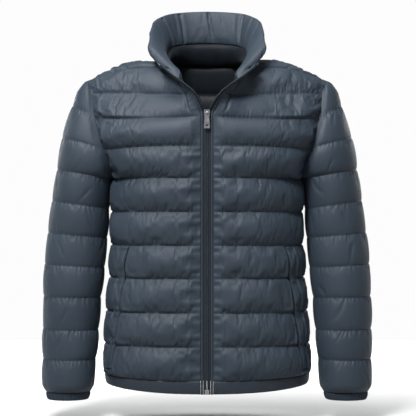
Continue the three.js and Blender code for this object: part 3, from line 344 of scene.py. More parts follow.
def body_puff(face, level, share, shares, narrow=1.0):
    puff = FRONT_PUFF if face == "front" else BACK_PUFF
    low = mix(SIDE_PUFF, ARMPIT_PUFF, rise(*SIDE_FADE["thins"], level))
    in_seam = 0.0 if level > ARMPIT_LEVEL else low
    side = rise(mix(*SIDE_FADE["from"], rise(*SIDE_FADE["draws_back"], level)), 1, shares)
    edge = np.interp(shares, FRONT_EDGE_SHARES, FRONT_EDGE_PUFF) if face == "front" else 1.0
    height = mix(puff * edge, in_seam, side) * puff_at(share) * narrow
    if face == "front":
        height = height * (1 - WELT["flattens"] * welt_strip(level, shares))
    return height


def welt_share(level):
    climb = np.clip((level - WELT["bottom"]) / (WELT["top"] - WELT["bottom"]), 0, 1)
    return mix(WELT["bottom_share"], WELT["top_share"], climb)


def between(low, high, fade, x):
    """1 between two values and 0 beyond them; `fade` is how far each end reaches outwards and inwards."""
    outside, inside = fade
    return rise(low - outside, low + inside, x) * rise(high + outside, high - inside, x)


def welt_strip(level, shares):
    """1 where the pocket welt lies over the front, 0 off it."""
    low = welt_share(level)
    inside = between(low, low + WELT["width"], WELT["side_fade"], shares)
    return inside * between(WELT["bottom"], WELT["top"], WELT["end_fade"], level)


def welt_groove(level, shares):
    """How far the front dips along the pocket's opening."""
    away = (shares - welt_share(level) - WELT["groove_at"]) / WELT["groove_width"]
    bottom, top = WELT["bottom"], WELT["top"]
    at_bottom, at_top = WELT["groove_ends"]
    ends = rise(bottom, bottom + at_bottom, level) * rise(top, top - at_top, level)
    return WELT["groove"] * np.exp(-away * away) * ends


def channel_shares(count):
    """Shares of a channel's height, closer together at its stitch lines."""
    t = np.arange(count) / count
    return CHANNEL_ROWS["even"] * t + CHANNEL_ROWS["bunched"] * (1 - np.cos(math.pi * t)) / 2


def channel_width(low, high):
    return np.minimum(1, np.linalg.norm(high - low, axis=1) / FULL_PUFF_WIDTH)


def body_start(face, columns, per_channel):
    """The level channels of a body panel, its last stitch line, and its top edge on the neck and shoulder."""
    u = np.linspace(0, 1, columns)
    grid = Grid()
    steps = channel_shares(per_channel)
    for k in range(TOP_LEVEL):
        for share in steps:
            points = level_line(face, k + share).share(u)
            grid.add(points, body_puff(face, k + share, share, u), share, k + share)
    under = NECK_SHARE[face]
    neck = NECK_CURVE.points_at(mix(NECK_BEGIN[face], NECK_STOP, np.minimum(1, u / under)))
    seam = SHOULDER_CURVE.share(np.clip((u - under) / (1 - under), 0, 1))
    top = np.where((u < under)[:, None], neck, seam)
    return grid, u, steps, level_line(face, TOP_LEVEL).share(u), top


def front_grid(columns, per_channel):
    """A front, from the zip to the wearer's left side."""
    grid, u, steps, bottom, top = body_start("front", columns, per_channel)
    narrow = channel_width(bottom, top)
    left = lambda t: zip_point(mix(BODY_LEVELS[-1, 0], COLLAR_FRONT, t), PANEL_FROM)
    right = lambda t: armhole_point("front", TOP_LEVEL + t)
    shares = np.append(steps, 1.0)
    for share, points in zip(shares, patch_rows(bottom, top, left, right, u, shares)):
        level = TOP_LEVEL + share
        grid.add(points, body_puff("front", level, share, u, narrow), share, level)
    grid.finish()
    chest = np.repeat(rise(*CHEST_EASE["levels"], grid.level)[:, None], columns, axis=1)
    grid.points = eased(grid.points, chest, CHEST_EASE["passes"])
    return grid


def back_grid(columns, per_channel):
    """Half the back, from the centre to the wearer's left side."""
    grid, u, steps, bottom, top = body_start("back", columns, per_channel)
    yoke = smooth(YOKE_LINE + [tuple(armhole_point("back", TOP_LEVEL + 0.5))]).share(u)
    edges = [bottom, yoke, top]
    side = rise(YOKE_ARCH["from"], YOKE_ARCH["full"], u)
    for k in range(2):
        low, high = edges[k], edges[k + 1]
        narrow = channel_width(low, high)
        left = lambda t, low=low, high=high: mix(low[0], high[0], t)
        right = lambda t, k=k: armhole_point("back", TOP_LEVEL + (k + t) / 2)
        shares = steps if k == 0 else np.append(steps, 1.0)
        for share, points in zip(shares, patch_rows(low, high, left, right, u, shares)):
            arch = YOKE_ARCH["low" if k == 0 else "high"] * 4 * share * (1 - share) * side
            points[:, 2] += arch * (1 if k == 0 else rise(*YOKE_ARCH["neck"], u))
            points[:, 1] += arch if k == 0 else 0
            level = TOP_LEVEL + (k + share) / 2
            grid.add(points, body_puff("back", level, share, u, narrow), share, TOP_LEVEL + k + share)
    return grid.finish()


def ring(line, angles):
    out_x, out_z, mid_x, mid_z, y, depth, _ = line
    cos = np.cos(angles)
    return np.stack([
        mid_x + (out_x - mid_x) * cos,
        y + depth * np.sin(angles),
        mid_z + (out_z - mid_z) * cos,
    ], axis=1)


def sleeve_grid(columns, per_channel):
    """From the shoulder point to the wrist; columns go round from the back to the front."""
    u = np.linspace(1, -1, columns)
    grid = Grid()
    steps = channel_shares(per_channel)
    rows = [(k + share, share) for k in range(10) for share in steps] + [(10, 0.0)]
    for at, share in rows:
        line = read_table(SLEEVE_LEVELS, at)
        sweep = math.radians(line[6])
        points = ring(line, u * sweep)
        if at < CAP_BOTTOM:
            stop = np.interp(at, CAP_STOPS[:, 0], CAP_STOPS[:, 1]) / 10
            for face, sign in (("front", -1), ("back", 1)):
                half = u * sign > 0 if face == "back" else u <= 0
                miss = ARMHOLE_CURVE[face].points_at(stop)[0] - ring(line, np.array([sign * sweep]))[0]
                points[half] += miss * (u[half, None] ** 2)
        around = np.abs(u) * line[6]
        low = mix(ARMPIT_PUFF, INNER_SLEEVE_PUFF, rise(*SLEEVE_FADE["armpit"], at))
        outer = mix(OUTER_SLEEVE_PUFF, SLEEVE_PUFF, rise(*SLEEVE_FADE["outer"], around))
        edge = rise(*SLEEVE_FADE["seam"], np.abs(u)) if at < CAP_BOTTOM else 1.0
        cap = rise(*SLEEVE_FADE["cap"], at)
        puff = puff_at(share) * mix(outer, low, rise(*SLEEVE_FADE["inner"], around)) * edge * cap
        grid.add(points, puff, share, at)
    return grid.finish()


def collar_grid(columns, count):
    """Half the collar, from the centre back to the zip."""
    u = np.linspace(0, 1, columns)
    foot = NECK_CURVE.share(u)
    top_curve = smooth(COLLAR_TOP + [tuple(zip_point(ZIP_TOP, PANEL_FROM))])
    top = top_curve.share(u)
    left = lambda t: mix(foot[0], top[0], t)
    right = lambda t: zip_point(mix(COLLAR_FRONT, ZIP_TOP, t), PANEL_FROM)
    grid = Grid()
    shares = np.append(channel_shares(count), 1.0)
    for t, points in zip(shares, patch_rows(foot, top, left, right, u, shares)):
        hold = t * t * (1 - COLLAR_FOLLOW["lets_go"] * t**6)
        near = rise(COLLAR_FOLLOW["from"], 1, u) * COLLAR_FOLLOW["share"] * hold
        away = np.linalg.norm(points - points[-1], axis=1)
        follow = np.array([zip_point(mix(COLLAR_FRONT, ZIP_TOP, t), PANEL_FROM + a) for a in away])
        points = mix(points, follow, np.clip(near, 0, 1)[:, None])
        grid.add(points, COLLAR_PUFF * puff_at(t) * rise(*COLLAR_END, u), t, t)
    return grid.finish()


def hem_grid(columns, rows):
    """The hem band: from the zip round the wearer's left side to the back, and on round the right side."""
    u = np.linspace(0, 1, columns)
    grid = Grid()
    for t in np.linspace(0, 1, rows):
        z = mix(HEM_BOTTOM, BODY_LEVELS[0, 0], t)
        inset = HEM_INSET * (1 - t)
        lift = mix(HEM_LIFT["edge"], HEM_LIFT["seam"], t)
        front = level_line("front", 0, inset, z, lift).share(u)
        back = level_line("back", 0, inset, z, lift).share(u)
        half = np.vstack([front, back[::-1][1:]])
        whole = np.vstack([half, (half * [-1, 1, 1])[::-1][1:]])
        grid.add(whole, np.full(len(whole), HEM_PUFF * puff_at(t)), t, t)
    return grid.finish()


def cuff_grid(columns, rows):
    """From the sleeve's last stitch line down to the cuff's edge."""
    angles = np.linspace(math.pi, -math.pi, columns)
    top = ring(read_table(SLEEVE_LEVELS, 10), angles)
    edge = (CUFF["out"], CUFF["bottom"], CUFF["mid"], CUFF["bottom"], CUFF["y"], CUFF["depth"], 180)
    bottom = ring(edge, angles)
    grid = Grid()
    for t in np.linspace(0, 1, rows):
        grid.add(mix(top, bottom, t), np.zeros(columns), t, t)
    return grid.finish()


def sway(points):
    """The edge of the opening on the picture's right hangs a little further out."""
    x, y, z = np.moveaxis(points, -1, 0)
    share = rise(SWAY["low_z"], SWAY["high_z"], z) * rise(SWAY["back_y"], SWAY["front_y"], y)
    return points + np.stack([np.where(x > 0, SWAY["shift"] * share, 0), 0 * y, 0 * z], axis=-1)


def whole_of(half):
    """Both halves of a grid that starts at the centre back."""
    grid = Grid()
    grid.points = np.concatenate([half.points[:, ::-1], (half.points * [-1, 1, 1])[:, 1:]], axis=1)
    grid.puff = np.concatenate([half.puff[:, ::-1], half.puff[:, 1:]], axis=1)
    grid.share, grid.level = half.share, half.level
    return grid


def mirror_of(half):
    grid = Grid()
    grid.points = (half.points * [-1, 1, 1])[:, ::-1]
    grid.puff = half.puff[:, ::-1]
    grid.share, grid.level = half.share, half.level
    return grid


def unit(v):
    length = np.linalg.norm(v, axis=-1, keepdims=True)
    return v / np.maximum(length, 1e-9)


def normals_of(points, closed=None):
    """Outward normals of a grid; `closed` marks the rows whose two ends meet."""
    rows = np.gradient(points, axis=0)
    cols = np.gradient(points, axis=1)
    if closed is not None:
        around = (points[:, 1] - points[:, -2]) / 2
        cols[closed, 0] = around[closed]
        cols[closed, -1] = around[closed]
    n = np.cross(cols, rows)
    flat = np.linalg.norm(n, axis=-1) < 1e-6
    n = unit(n)
    for j in range(len(points)):
        if flat[j].any():
            other = min(j + 1, len(points) - 1)
            n[j][flat[j]] = unit(n[other].mean(axis=0))
    return n


class Rows:
    """Lengths over a grid, in millimetres: along each row, and from each stitch line."""

    def __init__(self, grid):
        steps = np.linalg.norm(np.diff(grid.points, axis=1), axis=2)
        run = np.concatenate([np.zeros((len(steps), 1)), np.cumsum(steps, axis=1)], axis=1)
        self.along = run - run[:, run.shape[1] // 2][:, None]
        self.bounds = [j for j, s in enumerate(grid.share) if s == 0 or s == 1]
        self.low = np.zeros(grid.puff.shape)
        self.high = np.zeros(grid.puff.shape)
        for a, b in zip(self.bounds[:-1], self.bounds[1:]):
            rise_steps = np.linalg.norm(np.diff(grid.points[a:b + 1], axis=0), axis=2)
            climbed = np.concatenate([np.zeros((1, rise_steps.shape[1])), np.cumsum(rise_steps, axis=0)])
            self.low[a:b + 1] = climbed
            self.high[a:b + 1] = climbed[-1] - climbed


def crease_shape(t):
    """A valley with a low ridge at each side."""
    return np.exp(-t * t) * (1 - 0.7 * t * t)


# Sizes in millimetres, each a range that a crease takes its own from
PUCKERS = {
    "low": {"gap": (4.5, 11.0), "length": (11.0, 27.0), "depth": (0.9, 2.7), "width": (1.8, 3.2)},
    "high": {"gap": (5.0, 13.0), "length": (5.0, 12.0), "depth": (0.3, 1.1), "width": (1.6, 2.8)},
    "zip": {"gap": (5.0, 9.5), "length": (14.0, 30.0), "depth": (1.2, 3.0), "width": (1.6, 2.6)},
    "armhole": {"gap": (6.0, 13.0), "length": (10.0, 24.0), "depth": (0.8, 2.2), "width": (1.6, 2.8)},
    "collar": {"gap": (12.0, 30.0), "length": (8.0, 16.0), "depth": (0.8, 1.8), "width": (1.8, 3.2)},
}
PUCKER_START = 1.5
# A pucker's shortest share of its length, its tilt, its width at its start and how much that grows, its fade
PUCKER = {"shortest": 0.55, "tilt": 0.2, "width": 0.7, "grows": 0.9, "fade": 1.2}
CREASED_FROM = 3.0  # padding under this height is creased less
LAPEL_LINE = {"away": 19.0, "depth": 4.0, "width": 3.2, "levels": (7.9, 8.5)}
COLLAR_STITCH = {"from_top": 10.0, "depth": 1.3, "width": 1.8}
LUMP = {"gap": (13.0, 30.0), "depth": 1.1, "width": (14.0, 30.0)}
FOLD = {"gap": (45.0, 120.0), "depth": (0.5, 1.3), "width": (2.4, 5.0), "slant": 0.7, "share": (0.4, 0.8),
        "first": 40.0, "from_below": 0.7, "leans": 0.5, "bow": 4.0, "grows": 0.8, "roundness": 0.7}


def pucker_row(place, distance, kind, rng, lean, scale):
    """Small valleys that run off an edge; `place` is the length along it and `distance` the length off it."""
    sizes = PUCKERS[kind]
    heights = np.zeros(place.shape)
    at = place.min() + rng.uniform(0, sizes["gap"][1])
    end = place.max()
    while at < end:
        length = rng.uniform(*sizes["length"]) * rng.uniform(PUCKER["shortest"], 1.0)
        depth = rng.uniform(*sizes["depth"]) * scale
        width = rng.uniform(*sizes["width"])
        tilt = lean + rng.normal(0, PUCKER["tilt"])
        t = np.clip(distance / length, 0, 1)
        across = (place - at - tilt * distance) / (width * (PUCKER["width"] + PUCKER["grows"] * t))
        valley = crease_shape(across) * (1 - t) ** PUCKER["fade"]
        heights -= depth * valley * np.clip(distance / PUCKER_START, 0, 1)
        at += rng.uniform(*sizes["gap"])
    return heights


def pucker_heights(grid, rows, rng, lean=0.0, scale=1.0, ends=()):
    """Small puckers off every stitch line and the given ends, soft lumps, and a few longer folds."""
    heights = np.zeros(grid.puff.shape)
    for a, b in zip(rows.bounds[:-1], rows.bounds[1:]):
        x = rows.along[a:b + 1]
        low, high = rows.low[a:b + 1], rows.high[a:b + 1]
        first, last = x.min(), x.max()
        room = np.maximum(low + high, 1e-6)
        part = pucker_row(x, low, "low", rng, lean, scale)
        part += pucker_row(x, high, "high", rng, -lean, scale)
        at = first
        while at < last:
            width = rng.uniform(*LUMP["width"])
            height = rng.uniform(-1, 1) * LUMP["depth"]
            part += height * np.exp(-((x - at) / width) ** 2) * puff_at(low / room)
            at += rng.uniform(*LUMP["gap"])
        at = first + rng.uniform(0, FOLD["first"])
        while at < last:
            distance = low if rng.random() < FOLD["from_below"] else high
            tilt = rng.uniform(-1, 1) * FOLD["slant"] + lean * FOLD["leans"]
            t = np.clip(distance / (room * rng.uniform(*FOLD["share"])), 0, 1)
            width = rng.uniform(*FOLD["width"]) * FOLD["grows"] * (1 + t)
            bow = rng.normal(0, FOLD["bow"]) * np.sin(math.pi * t)
            valley = crease_shape((x - at - tilt * distance - bow) / width)
            valley = valley * np.sin(math.pi * (1 - t) ** FOLD["roundness"])
            part -= rng.uniform(*FOLD["depth"]) * scale * valley * np.clip(distance / PUCKER_START, 0, 1)
            at += rng.uniform(*FOLD["gap"])
        for kind, index in ends:
            distance = np.abs(x - x[:, index][:, None])
            part += pucker_row(low, distance, kind, rng, 0.0, scale)
        heights[a:b + 1] = part
    return heights * np.clip(grid.puff / CREASED_FROM, 0, 1)


# Folds inside the back of the collar: place at the foot, place at the top, depth, width, reach from the top
COLLAR_FOLDS = [
    (-79, -82, 6.5, 3.8, 1.0),
    (-66, -62, 3.0, 2.4, 0.7),
    (-38, -30, 2.0, 2.6, 0.5),
    (-13, -3, 6.8, 3.6, 1.0),
    (14, 8, 1.6, 3.0, 0.5),
    (50, 60, 6.4, 3.4, 1.0),
    (66, 74, 2.8, 2.6, 0.8),
    (84, 112, 6.2, 4.0, 1.0),
    (-104, -118, 3.2, 3.6, 0.9),
    (132, 146, 2.4, 3.2, 0.7),
    (-146, -150, 2.6, 3.4, 0.8),
]


COLLAR_FOLD = {"foot": 0.05, "full": 0.6, "top": 0.93}  # where along its climb a fold begins and ends


def collar_folds(rows):
    total = rows.low + rows.high
    climb = rows.low / total
    heights = np.zeros(climb.shape)
    for foot, top, depth, width, reach in COLLAR_FOLDS:
        place = mix(foot, top, climb)
        fade = rise(1 - reach - COLLAR_FOLD["foot"], 1 - reach * COLLAR_FOLD["full"], climb)
        fade = fade * rise(1.0, COLLAR_FOLD["top"], climb)
        heights += depth * fade * crease_shape((rows.along - place) / width)
    return heights


def add_mesh(name, points, faces, materials, uv=None):
    """An object from points in millimetres and a list of face index arrays."""
    mesh = bpy.data.meshes.new(name)
    points = np.asarray(points, float).reshape(-1, 3)
    mesh.vertices.add(len(points))
    mesh.vertices.foreach_set("co", (points * MM).astype(np.float32).ravel())
    loops = np.concatenate([np.asarray(block, np.int32).ravel() for block in faces])
    sizes = np.concatenate([np.full(len(b), np.asarray(b).shape[1], np.int32) for b in faces])
    mesh.loops.add(len(loops))
    mesh.loops.foreach_set("vertex_index", loops)
    mesh.polygons.add(len(sizes))
    starts = np.concatenate([[0], np.cumsum(sizes)[:-1]])
    mesh.polygons.foreach_set("loop_start", starts.astype(np.int32))
    mesh.update(calc_edges=True)
    mesh.polygons.foreach_set("use_smooth", np.full(len(sizes), True))
    if uv is not None:
        layer = mesh.uv_layers.new(name="cloth")
        layer.data.foreach_set("uv", (np.asarray(uv, np.float32).reshape(-1, 2)[loops] * MM).ravel())
    mesh.validate()
    obj = bpy.data.objects.new(name, mesh)
    bpy.context.scene.collection.objects.link(obj)
    for material in materials:
        mesh.materials.append(material)
    return obj


def grid_quads(rows, columns, start=0, turn=False):
    index = np.arange(rows * columns).reshape(rows, columns) + start
    corners = [index[:-1, :-1], index[:-1, 1:], index[1:, 1:], index[1:, :-1]]
    quads = np.stack(corners, axis=-1).reshape(-1, 4)
    return quads[:, ::-1] if turn else quads


def stops_of(count, step):
    """Every step-th index of a line, always with its last one."""
    return np.unique(np.append(np.arange(0, count, step), count - 1))


def wall_faces(rows, columns, row_step=1, column_step=1):
    """A closed wall: an outer grid, an inner grid on fewer lines, and the rims between them."""
    count = rows * columns
    outer = np.arange(count).reshape(rows, columns)
    lines, stops = stops_of(rows, row_step), stops_of(columns, column_step)
    inner = np.arange(len(lines) * len(stops)).reshape(len(lines), len(stops)) + count
    faces = [grid_quads(rows, columns), grid_quads(len(lines), len(stops), count, turn=True)]
    triangles = []
    rims = (
        (outer[0], inner[0], stops),
        (outer[:, -1], inner[:, -1], lines),
        (outer[-1, ::-1], inner[-1, ::-1], columns - 1 - stops[::-1]),
        (outer[::-1, 0], inner[::-1, 0], rows - 1 - lines[::-1]),
    )
    for fine, coarse, places in rims:
        for k in range(len(places) - 1):
            for i in range(places[k], places[k + 1]):
                triangles.append((fine[i], coarse[k], fine[i + 1]))
            triangles.append((coarse[k], coarse[k + 1], fine[places[k + 1]]))
    faces.append(np.array(triangles))
    return faces


def cloth_uv(points, along):
    """Flat lengths of the cloth, in millimetres, as one list: along each row, and up from the first row."""
    climbs = np.linalg.norm(np.diff(points, axis=0), axis=2).mean(axis=1)
    up = np.concatenate([[0], np.cumsum(climbs)])
    return np.stack([along, np.repeat(up[:, None], along.shape[1], axis=1)], axis=-1).reshape(-1, 2)


def run_of(points):
    """Length along a line of points, from its first one."""
    return np.concatenate([[0], np.cumsum(np.linalg.norm(np.diff(points, axis=0), axis=1))])


# Materials

def ramp_node(tree, value, stops):
    """A colour ramp; a stop's colour is one grey or three parts."""
    ramp = tree.nodes.new("ShaderNodeValToRGB")
    elements = ramp.color_ramp.elements
    while len(elements) < len(stops):
        elements.new(0.5)
    for element, (position, colour) in zip(elements, stops):
        element.position = position
        element.color = (*(colour * 3 if len(colour) == 1 else colour), 1)
    tree.links.new(value, ramp.inputs["Fac"])
    return ramp.outputs["Color"]


class Look:
    """A material's nodes, with the few steps that all the materials here are made of."""

    def __init__(self, name, values):
        self.material = bpy.data.materials.new(name)
        self.material.use_nodes = True
        self.tree = self.material.node_tree
        self.shader = self.tree.nodes["Principled BSDF"]
        self.place = self.tree.nodes.new("ShaderNodeTexCoord").outputs["Object"]
        self.fill(self.shader, values)

    def fill(self, node, values):
        for name, value in values.items():
            node.inputs[name].default_value = value

    def new(self, kind, values):
        node = self.tree.nodes.new("ShaderNode" + kind)
        self.fill(node, values)
        return node

    def noise(self, scale, detail, rough=0.55, stretch=None):
        noise = self.new("TexNoise", {"Scale": scale, "Detail": detail, "Roughness": rough})
        place = self.place
        if stretch is not None:
            mapping = self.new("Mapping", {"Scale": stretch})
            self.tree.links.new(place, mapping.inputs["Vector"])
            place = mapping.outputs["Vector"]
        self.tree.links.new(place, noise.inputs["Vector"])
        return noise.outputs["Fac"]

    def wave(self, direction, values):
        """Threads side by side, from the flat lengths of the cloth."""
        flat = self.new("UVMap", {})
        flat.uv_map = "cloth"
        wave = self.new("TexWave", values)
        wave.bands_direction = direction
        self.tree.links.new(flat.outputs["UV"], wave.inputs["Vector"])
        return wave.outputs["Fac"]

    def combine(self, operation, a, b):
        """Two values, each a number or another node's, put together."""
        node = self.new("Math", {})
        node.operation = operation
        for value, socket in zip((a, b), node.inputs):
            if isinstance(value, float):
                socket.default_value = value
            else:
                self.tree.links.new(value, socket)
        return node.outputs[0]

    def total(self, *parts):
        """The sum of values, each times its own factor."""
        terms = [self.combine("MULTIPLY", value, factor) for value, factor in parts]
        result = terms[0]
        for term in terms[1:]:
            result = self.combine("ADD", result, term)
        return result

    def feed(self, name, value, stops):
        self.tree.links.new(ramp_node(self.tree, value, stops), self.shader.inputs[name])

    def bump(self, height, strength, distance):
        node = self.new("Bump", {"Strength": strength, "Distance": distance})
        self.tree.links.new(height, node.inputs["Height"])
        self.tree.links.new(node.outputs["Normal"], self.shader.inputs["Normal"])


NYLON_SHEEN = {"Sheen Weight": 0.03, "Sheen Roughness": 0.45, "Sheen Tint": (0.62, 0.74, 0.88, 1)}
WEAVE = {"Scale": 900.0, "Distortion": 0.4, "Detail": 1.0}


def cloth_material(name, dark, light, gloss=(0.52, 0.64), crinkle=1.0, specular=0.22):
    """Thin calendered nylon: fine plain weave, soft crinkles and a low sheen."""
    look = Look(name, {**NYLON_SHEEN, "Specular IOR Level": specular})
    patches = look.noise(9.0, 4.0)
    fine = look.noise(260.0, 2.0)
    look.feed("Base Color", look.total((patches, 0.75), (fine, 0.25)), [(0.3, dark), (0.7, light)])
    look.feed("Roughness", patches, [(0.3, gloss[:1]), (0.7, gloss[1:])])
    soft = look.noise(75.0, 4.0, 0.6, stretch=(1.0, 1.0, 0.55))
    small = look.noise(210.0, 3.0, 0.6, stretch=(1.0, 1.0, 0.5))
    weave = look.combine("MULTIPLY", look.wave("X", WEAVE), look.wave("Y", WEAVE))
    height = look.total((soft, 0.45 * crinkle), (small, 0.2 * crinkle), (weave, 0.04))
    look.bump(height, 0.55, 0.002)
    return look.material


def rib_material(name, dark, light, ribs):
    """Woven tape or ribbed elastic: fine ribs along the flat length."""
    look = Look(name, {"Roughness": 0.72, "Specular IOR Level": 0.2})
    tone = look.total((look.wave("X", {"Scale": ribs}), 0.5), (look.noise(160.0, 3.0), 0.5))
    look.feed("Base Color", tone, [(0.25, dark), (0.8, light)])
    look.bump(tone, 0.5, 0.0006)
    return look.material


def metal_material(name, dark, light, gloss):
    """Satin zinc casting, with fine tumbling marks."""
    look = Look(name, {"Metallic": 1.0})
    cloudy = look.noise(140.0, 3.0)
    look.feed("Base Color", cloudy, [(0.3, dark), (0.7, light)])
    look.feed("Roughness", cloudy, [(0.3, gloss[:1]), (0.7, gloss[1:])])
    look.bump(look.noise(1600.0, 2.0), 0.15, 0.0002)
    return look.material


def plain_material(name, colour, roughness):
    look = Look(name, {"Roughness": roughness, "Specular IOR Level": 0.3})
    low = tuple(c * 0.8 for c in colour)
    look.feed("Base Color", look.noise(500.0, 2.0), [(0.3, low), (0.7, colour)])
    return look.material


SHELL = cloth_material("shell", (0.0145, 0.0220, 0.0315), (0.0200, 0.0295, 0.0410))
# The lining is the shell's own nylon painted about five times darker: painted shade for the inside of the
# jacket.
LINING_PAINTED_SHADE = cloth_material("lining", (0.0028, 0.0042, 0.006), (0.0048, 0.007, 0.0096), (0.5, 0.62), 0.8, 0.12)
COLLAR = cloth_material("collar", (0.0150, 0.0225, 0.0320), (0.0205, 0.0300, 0.0415))
BAND = cloth_material("band", (0.012, 0.017, 0.024), (0.017, 0.0235, 0.0325), crinkle=0.5)
ELASTIC = rib_material("elastic", (0.009, 0.014, 0.021), (0.017, 0.025, 0.036), 420.0)
TAPE_CLOTH = rib_material("zip_tape", (0.004, 0.0065, 0.010), (0.009, 0.014, 0.021), 700.0)
COIL = plain_material("zip_coil", (0.011, 0.018, 0.028), 0.55)
METAL = metal_material("metal", (0.20, 0.21, 0.225), (0.31, 0.32, 0.335), (0.26, 0.4))
THREAD = plain_material("thread", (0.010, 0.0145, 0.0205), 0.6)


# Pieces

RNG_SEED = 7
DROOP = 0.16  # share of its height that the padding hangs down
CLOTH_START = 0.72  # share of the padding that the cloth starts from
CLOTH_CAP = 7.0  # the furthest that a point may move as it swells, in millimetres
CLOTH_FRAMES = 14
CLOTH_SETTINGS = {
    "quality": 4, "mass": 0.15, "tension_stiffness": 12, "compression_stiffness": 12, "shear_stiffness": 6,
    "bending_stiffness": 0.05, "shrink_min": -0.05, "use_pressure": True, "uniform_pressure_force": 3.0,
    "vertex_group_mass": "held",
}
CALM = {"levels": (6.6, 7.6), "shares": (0.62, 0.4)}  # where the open front keeps to its own shape
LINING_CREASES = 1.3
THINNEST = 1.2


def spread(places, known, values):
    """Values of a grid whose rows are known at some places, at all the places asked for."""
    return np.apply_along_axis(lambda column: np.interp(places, known, column), 0, values)


class Panel:
    """A padded panel: its seam surface, normals, lengths and finished outer surface."""

    def __init__(self, name, grid, slot, materials, lean, closed=None, lining=0.0, seed=0, scale=1.0,
                 inner_step=(3, 3)):
        self.name = name
        self.grid = grid
        grid.points = sway(grid.points)
        self.normals = normals_of(grid.points, closed)
        self.rows = Rows(grid)
        self.lean, self.seed, self.scale, self.lining = lean, seed, scale, lining
        self.slot, self.materials, self.inner_step = slot, materials, inner_step
        self.offset = np.zeros(grid.points.shape)
        shift = np.zeros(grid.points.shape)
        shift[..., 2] = -DROOP * grid.puff
        self.swell = self.normals * grid.puff[..., None] + (shift if slot == "shell" else 0)

    def cloth(self):
        """A light copy of the panel for the cloth to swell on; its stitch lines and edges are held."""
        rows, columns = self.grid.puff.shape
        self.lines = np.unique(np.append(stops_of(rows, 2), self.rows.bounds))
        self.stops = stops_of(columns, 2)
        few = np.ix_(self.lines, self.stops)
        self.start = self.grid.points[few] + self.swell[few] * CLOTH_START
        obj = add_mesh(self.name + "_form", self.start, [grid_quads(len(self.lines), len(self.stops))], [])
        held = obj.vertex_groups.new(name="held")
        index = np.arange(len(self.lines) * len(self.stops)).reshape(len(self.lines), len(self.stops))
        on_line = np.isin(self.lines, self.rows.bounds)
        fixed = np.unique(np.concatenate([index[on_line].ravel(), index[:, 0], index[:, -1]]))
        held.add(fixed.tolist(), 1.0, "REPLACE")
        settings = obj.modifiers.new("cloth", "CLOTH").settings
        for key, value in CLOTH_SETTINGS.items():
            setattr(settings, key, value)
        settings.effector_weights.gravity = 0
        self.form = obj

    def take_cloth(self, graph):
        """Reads the swollen copy, limits how far each point moved, and spreads that over the whole panel."""
        mesh = self.form.evaluated_get(graph).to_mesh()
        points = np.empty(len(mesh.vertices) * 3, np.float32)
        mesh.vertices.foreach_get("co", points)
        moved = points.reshape(self.start.shape) / MM - self.start
        length = np.linalg.norm(moved, axis=-1, keepdims=True)
        moved = moved * np.minimum(1, CLOTH_CAP / np.maximum(length, 1e-6))
        every_row, every_column = [np.arange(n) for n in self.grid.puff.shape]
        across = spread(every_column, self.stops, moved.transpose(1, 0, 2))
        self.offset = spread(every_row, self.lines, across.transpose(1, 0, 2))
        self.swell = self.swell * CLOTH_START
        self.form.evaluated_get(graph).to_mesh_clear()
        mesh = self.form.data
        bpy.data.objects.remove(self.form)
        bpy.data.meshes.remove(mesh)

    def front_creases(self, share):
        """The turned line beside the open zip and the groove of the pocket, by the share of the width."""
        edge = self.rows.along[:, 0 if share[0] == 0 else -1]
        away = np.abs(self.rows.along - edge[:, None])
        fade = rise(*LAPEL_LINE["levels"], self.grid.level)[:, None]
        line = np.exp(-((away - LAPEL_LINE["away"]) / LAPEL_LINE["width"]) ** 2)
        return LAPEL_LINE["depth"] * fade * line + welt_groove(self.grid.level[:, None], share[None])

    def shape(self):
        """Finds the outer and the inner surface."""
        grid = self.grid
        rng = np.random.default_rng(RNG_SEED + self.seed)
        ends = {"front_right": (("zip", 0), ("armhole", -1)), "front_left": (("zip", -1), ("armhole", 0))}
        creases = pucker_heights(grid, self.rows, rng, self.lean, self.scale, ends.get(self.name, ()))
        calm = 1.0
        if self.name == "collar":
            away = np.abs(self.rows.high - COLLAR_STITCH["from_top"])
            creases = creases - COLLAR_STITCH["depth"] * np.exp(-(away / COLLAR_STITCH["width"]) ** 2)
            creases = creases + pucker_row(self.rows.along, away, "collar", rng, 0.0, 1.0)
        if self.name.startswith("front"):
            share = np.linspace(0, 1, grid.puff.shape[1])
            share = share if self.name.endswith("right") else 1 - share
            creases = creases - self.front_creases(share)
            calm = 1 - rise(*CALM["levels"], grid.level)[:, None] * rise(*CALM["shares"], share)[None]
            calm = calm[..., None]
        fill = self.swell + self.offset
        fill = fill * calm + self.swell / CLOTH_START * (1 - calm)
        self.outer = grid.points + fill + self.normals * creases[..., None]
        depth = WALL + self.lining * grid.puff / max(grid.puff.max(), 1e-6)
        if self.lining:
            depth = depth + pucker_heights(grid, self.rows, rng, 0.0, LINING_CREASES)
        if self.name == "collar":
            depth = np.maximum(depth - collar_folds(self.rows), THINNEST)
        self.inner = grid.points - self.normals * depth[..., None]

    def build(self):
        """A closed wall: the whole outer surface, and the inner one on fewer rows and columns."""
        rows, columns = self.grid.puff.shape
        uv = cloth_uv(self.grid.points, self.rows.along)
        few = np.ix_(stops_of(rows, self.inner_step[0]), stops_of(columns, self.inner_step[1]))
        points = np.concatenate([self.outer.reshape(-1, 3), self.inner[few].reshape(-1, 3)])
        uv = np.concatenate([uv, uv.reshape(rows, columns, 2)[few].reshape(-1, 2)])
        faces = wall_faces(rows, columns, *self.inner_step)
        obj = add_mesh(self.name + "_cloth", points, faces, self.materials, uv)
        if len(self.materials) > 1:
            index = np.zeros(len(obj.data.polygons), np.int32)
            quads = (rows - 1) * (columns - 1)
            inner_quads = (few[0].size - 1) * (few[1].size - 1)
            index[quads:quads + inner_quads] = 1
            obj.data.polygons.foreach_set("material_index", index)
        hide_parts(self.name)
        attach(obj, "garment")


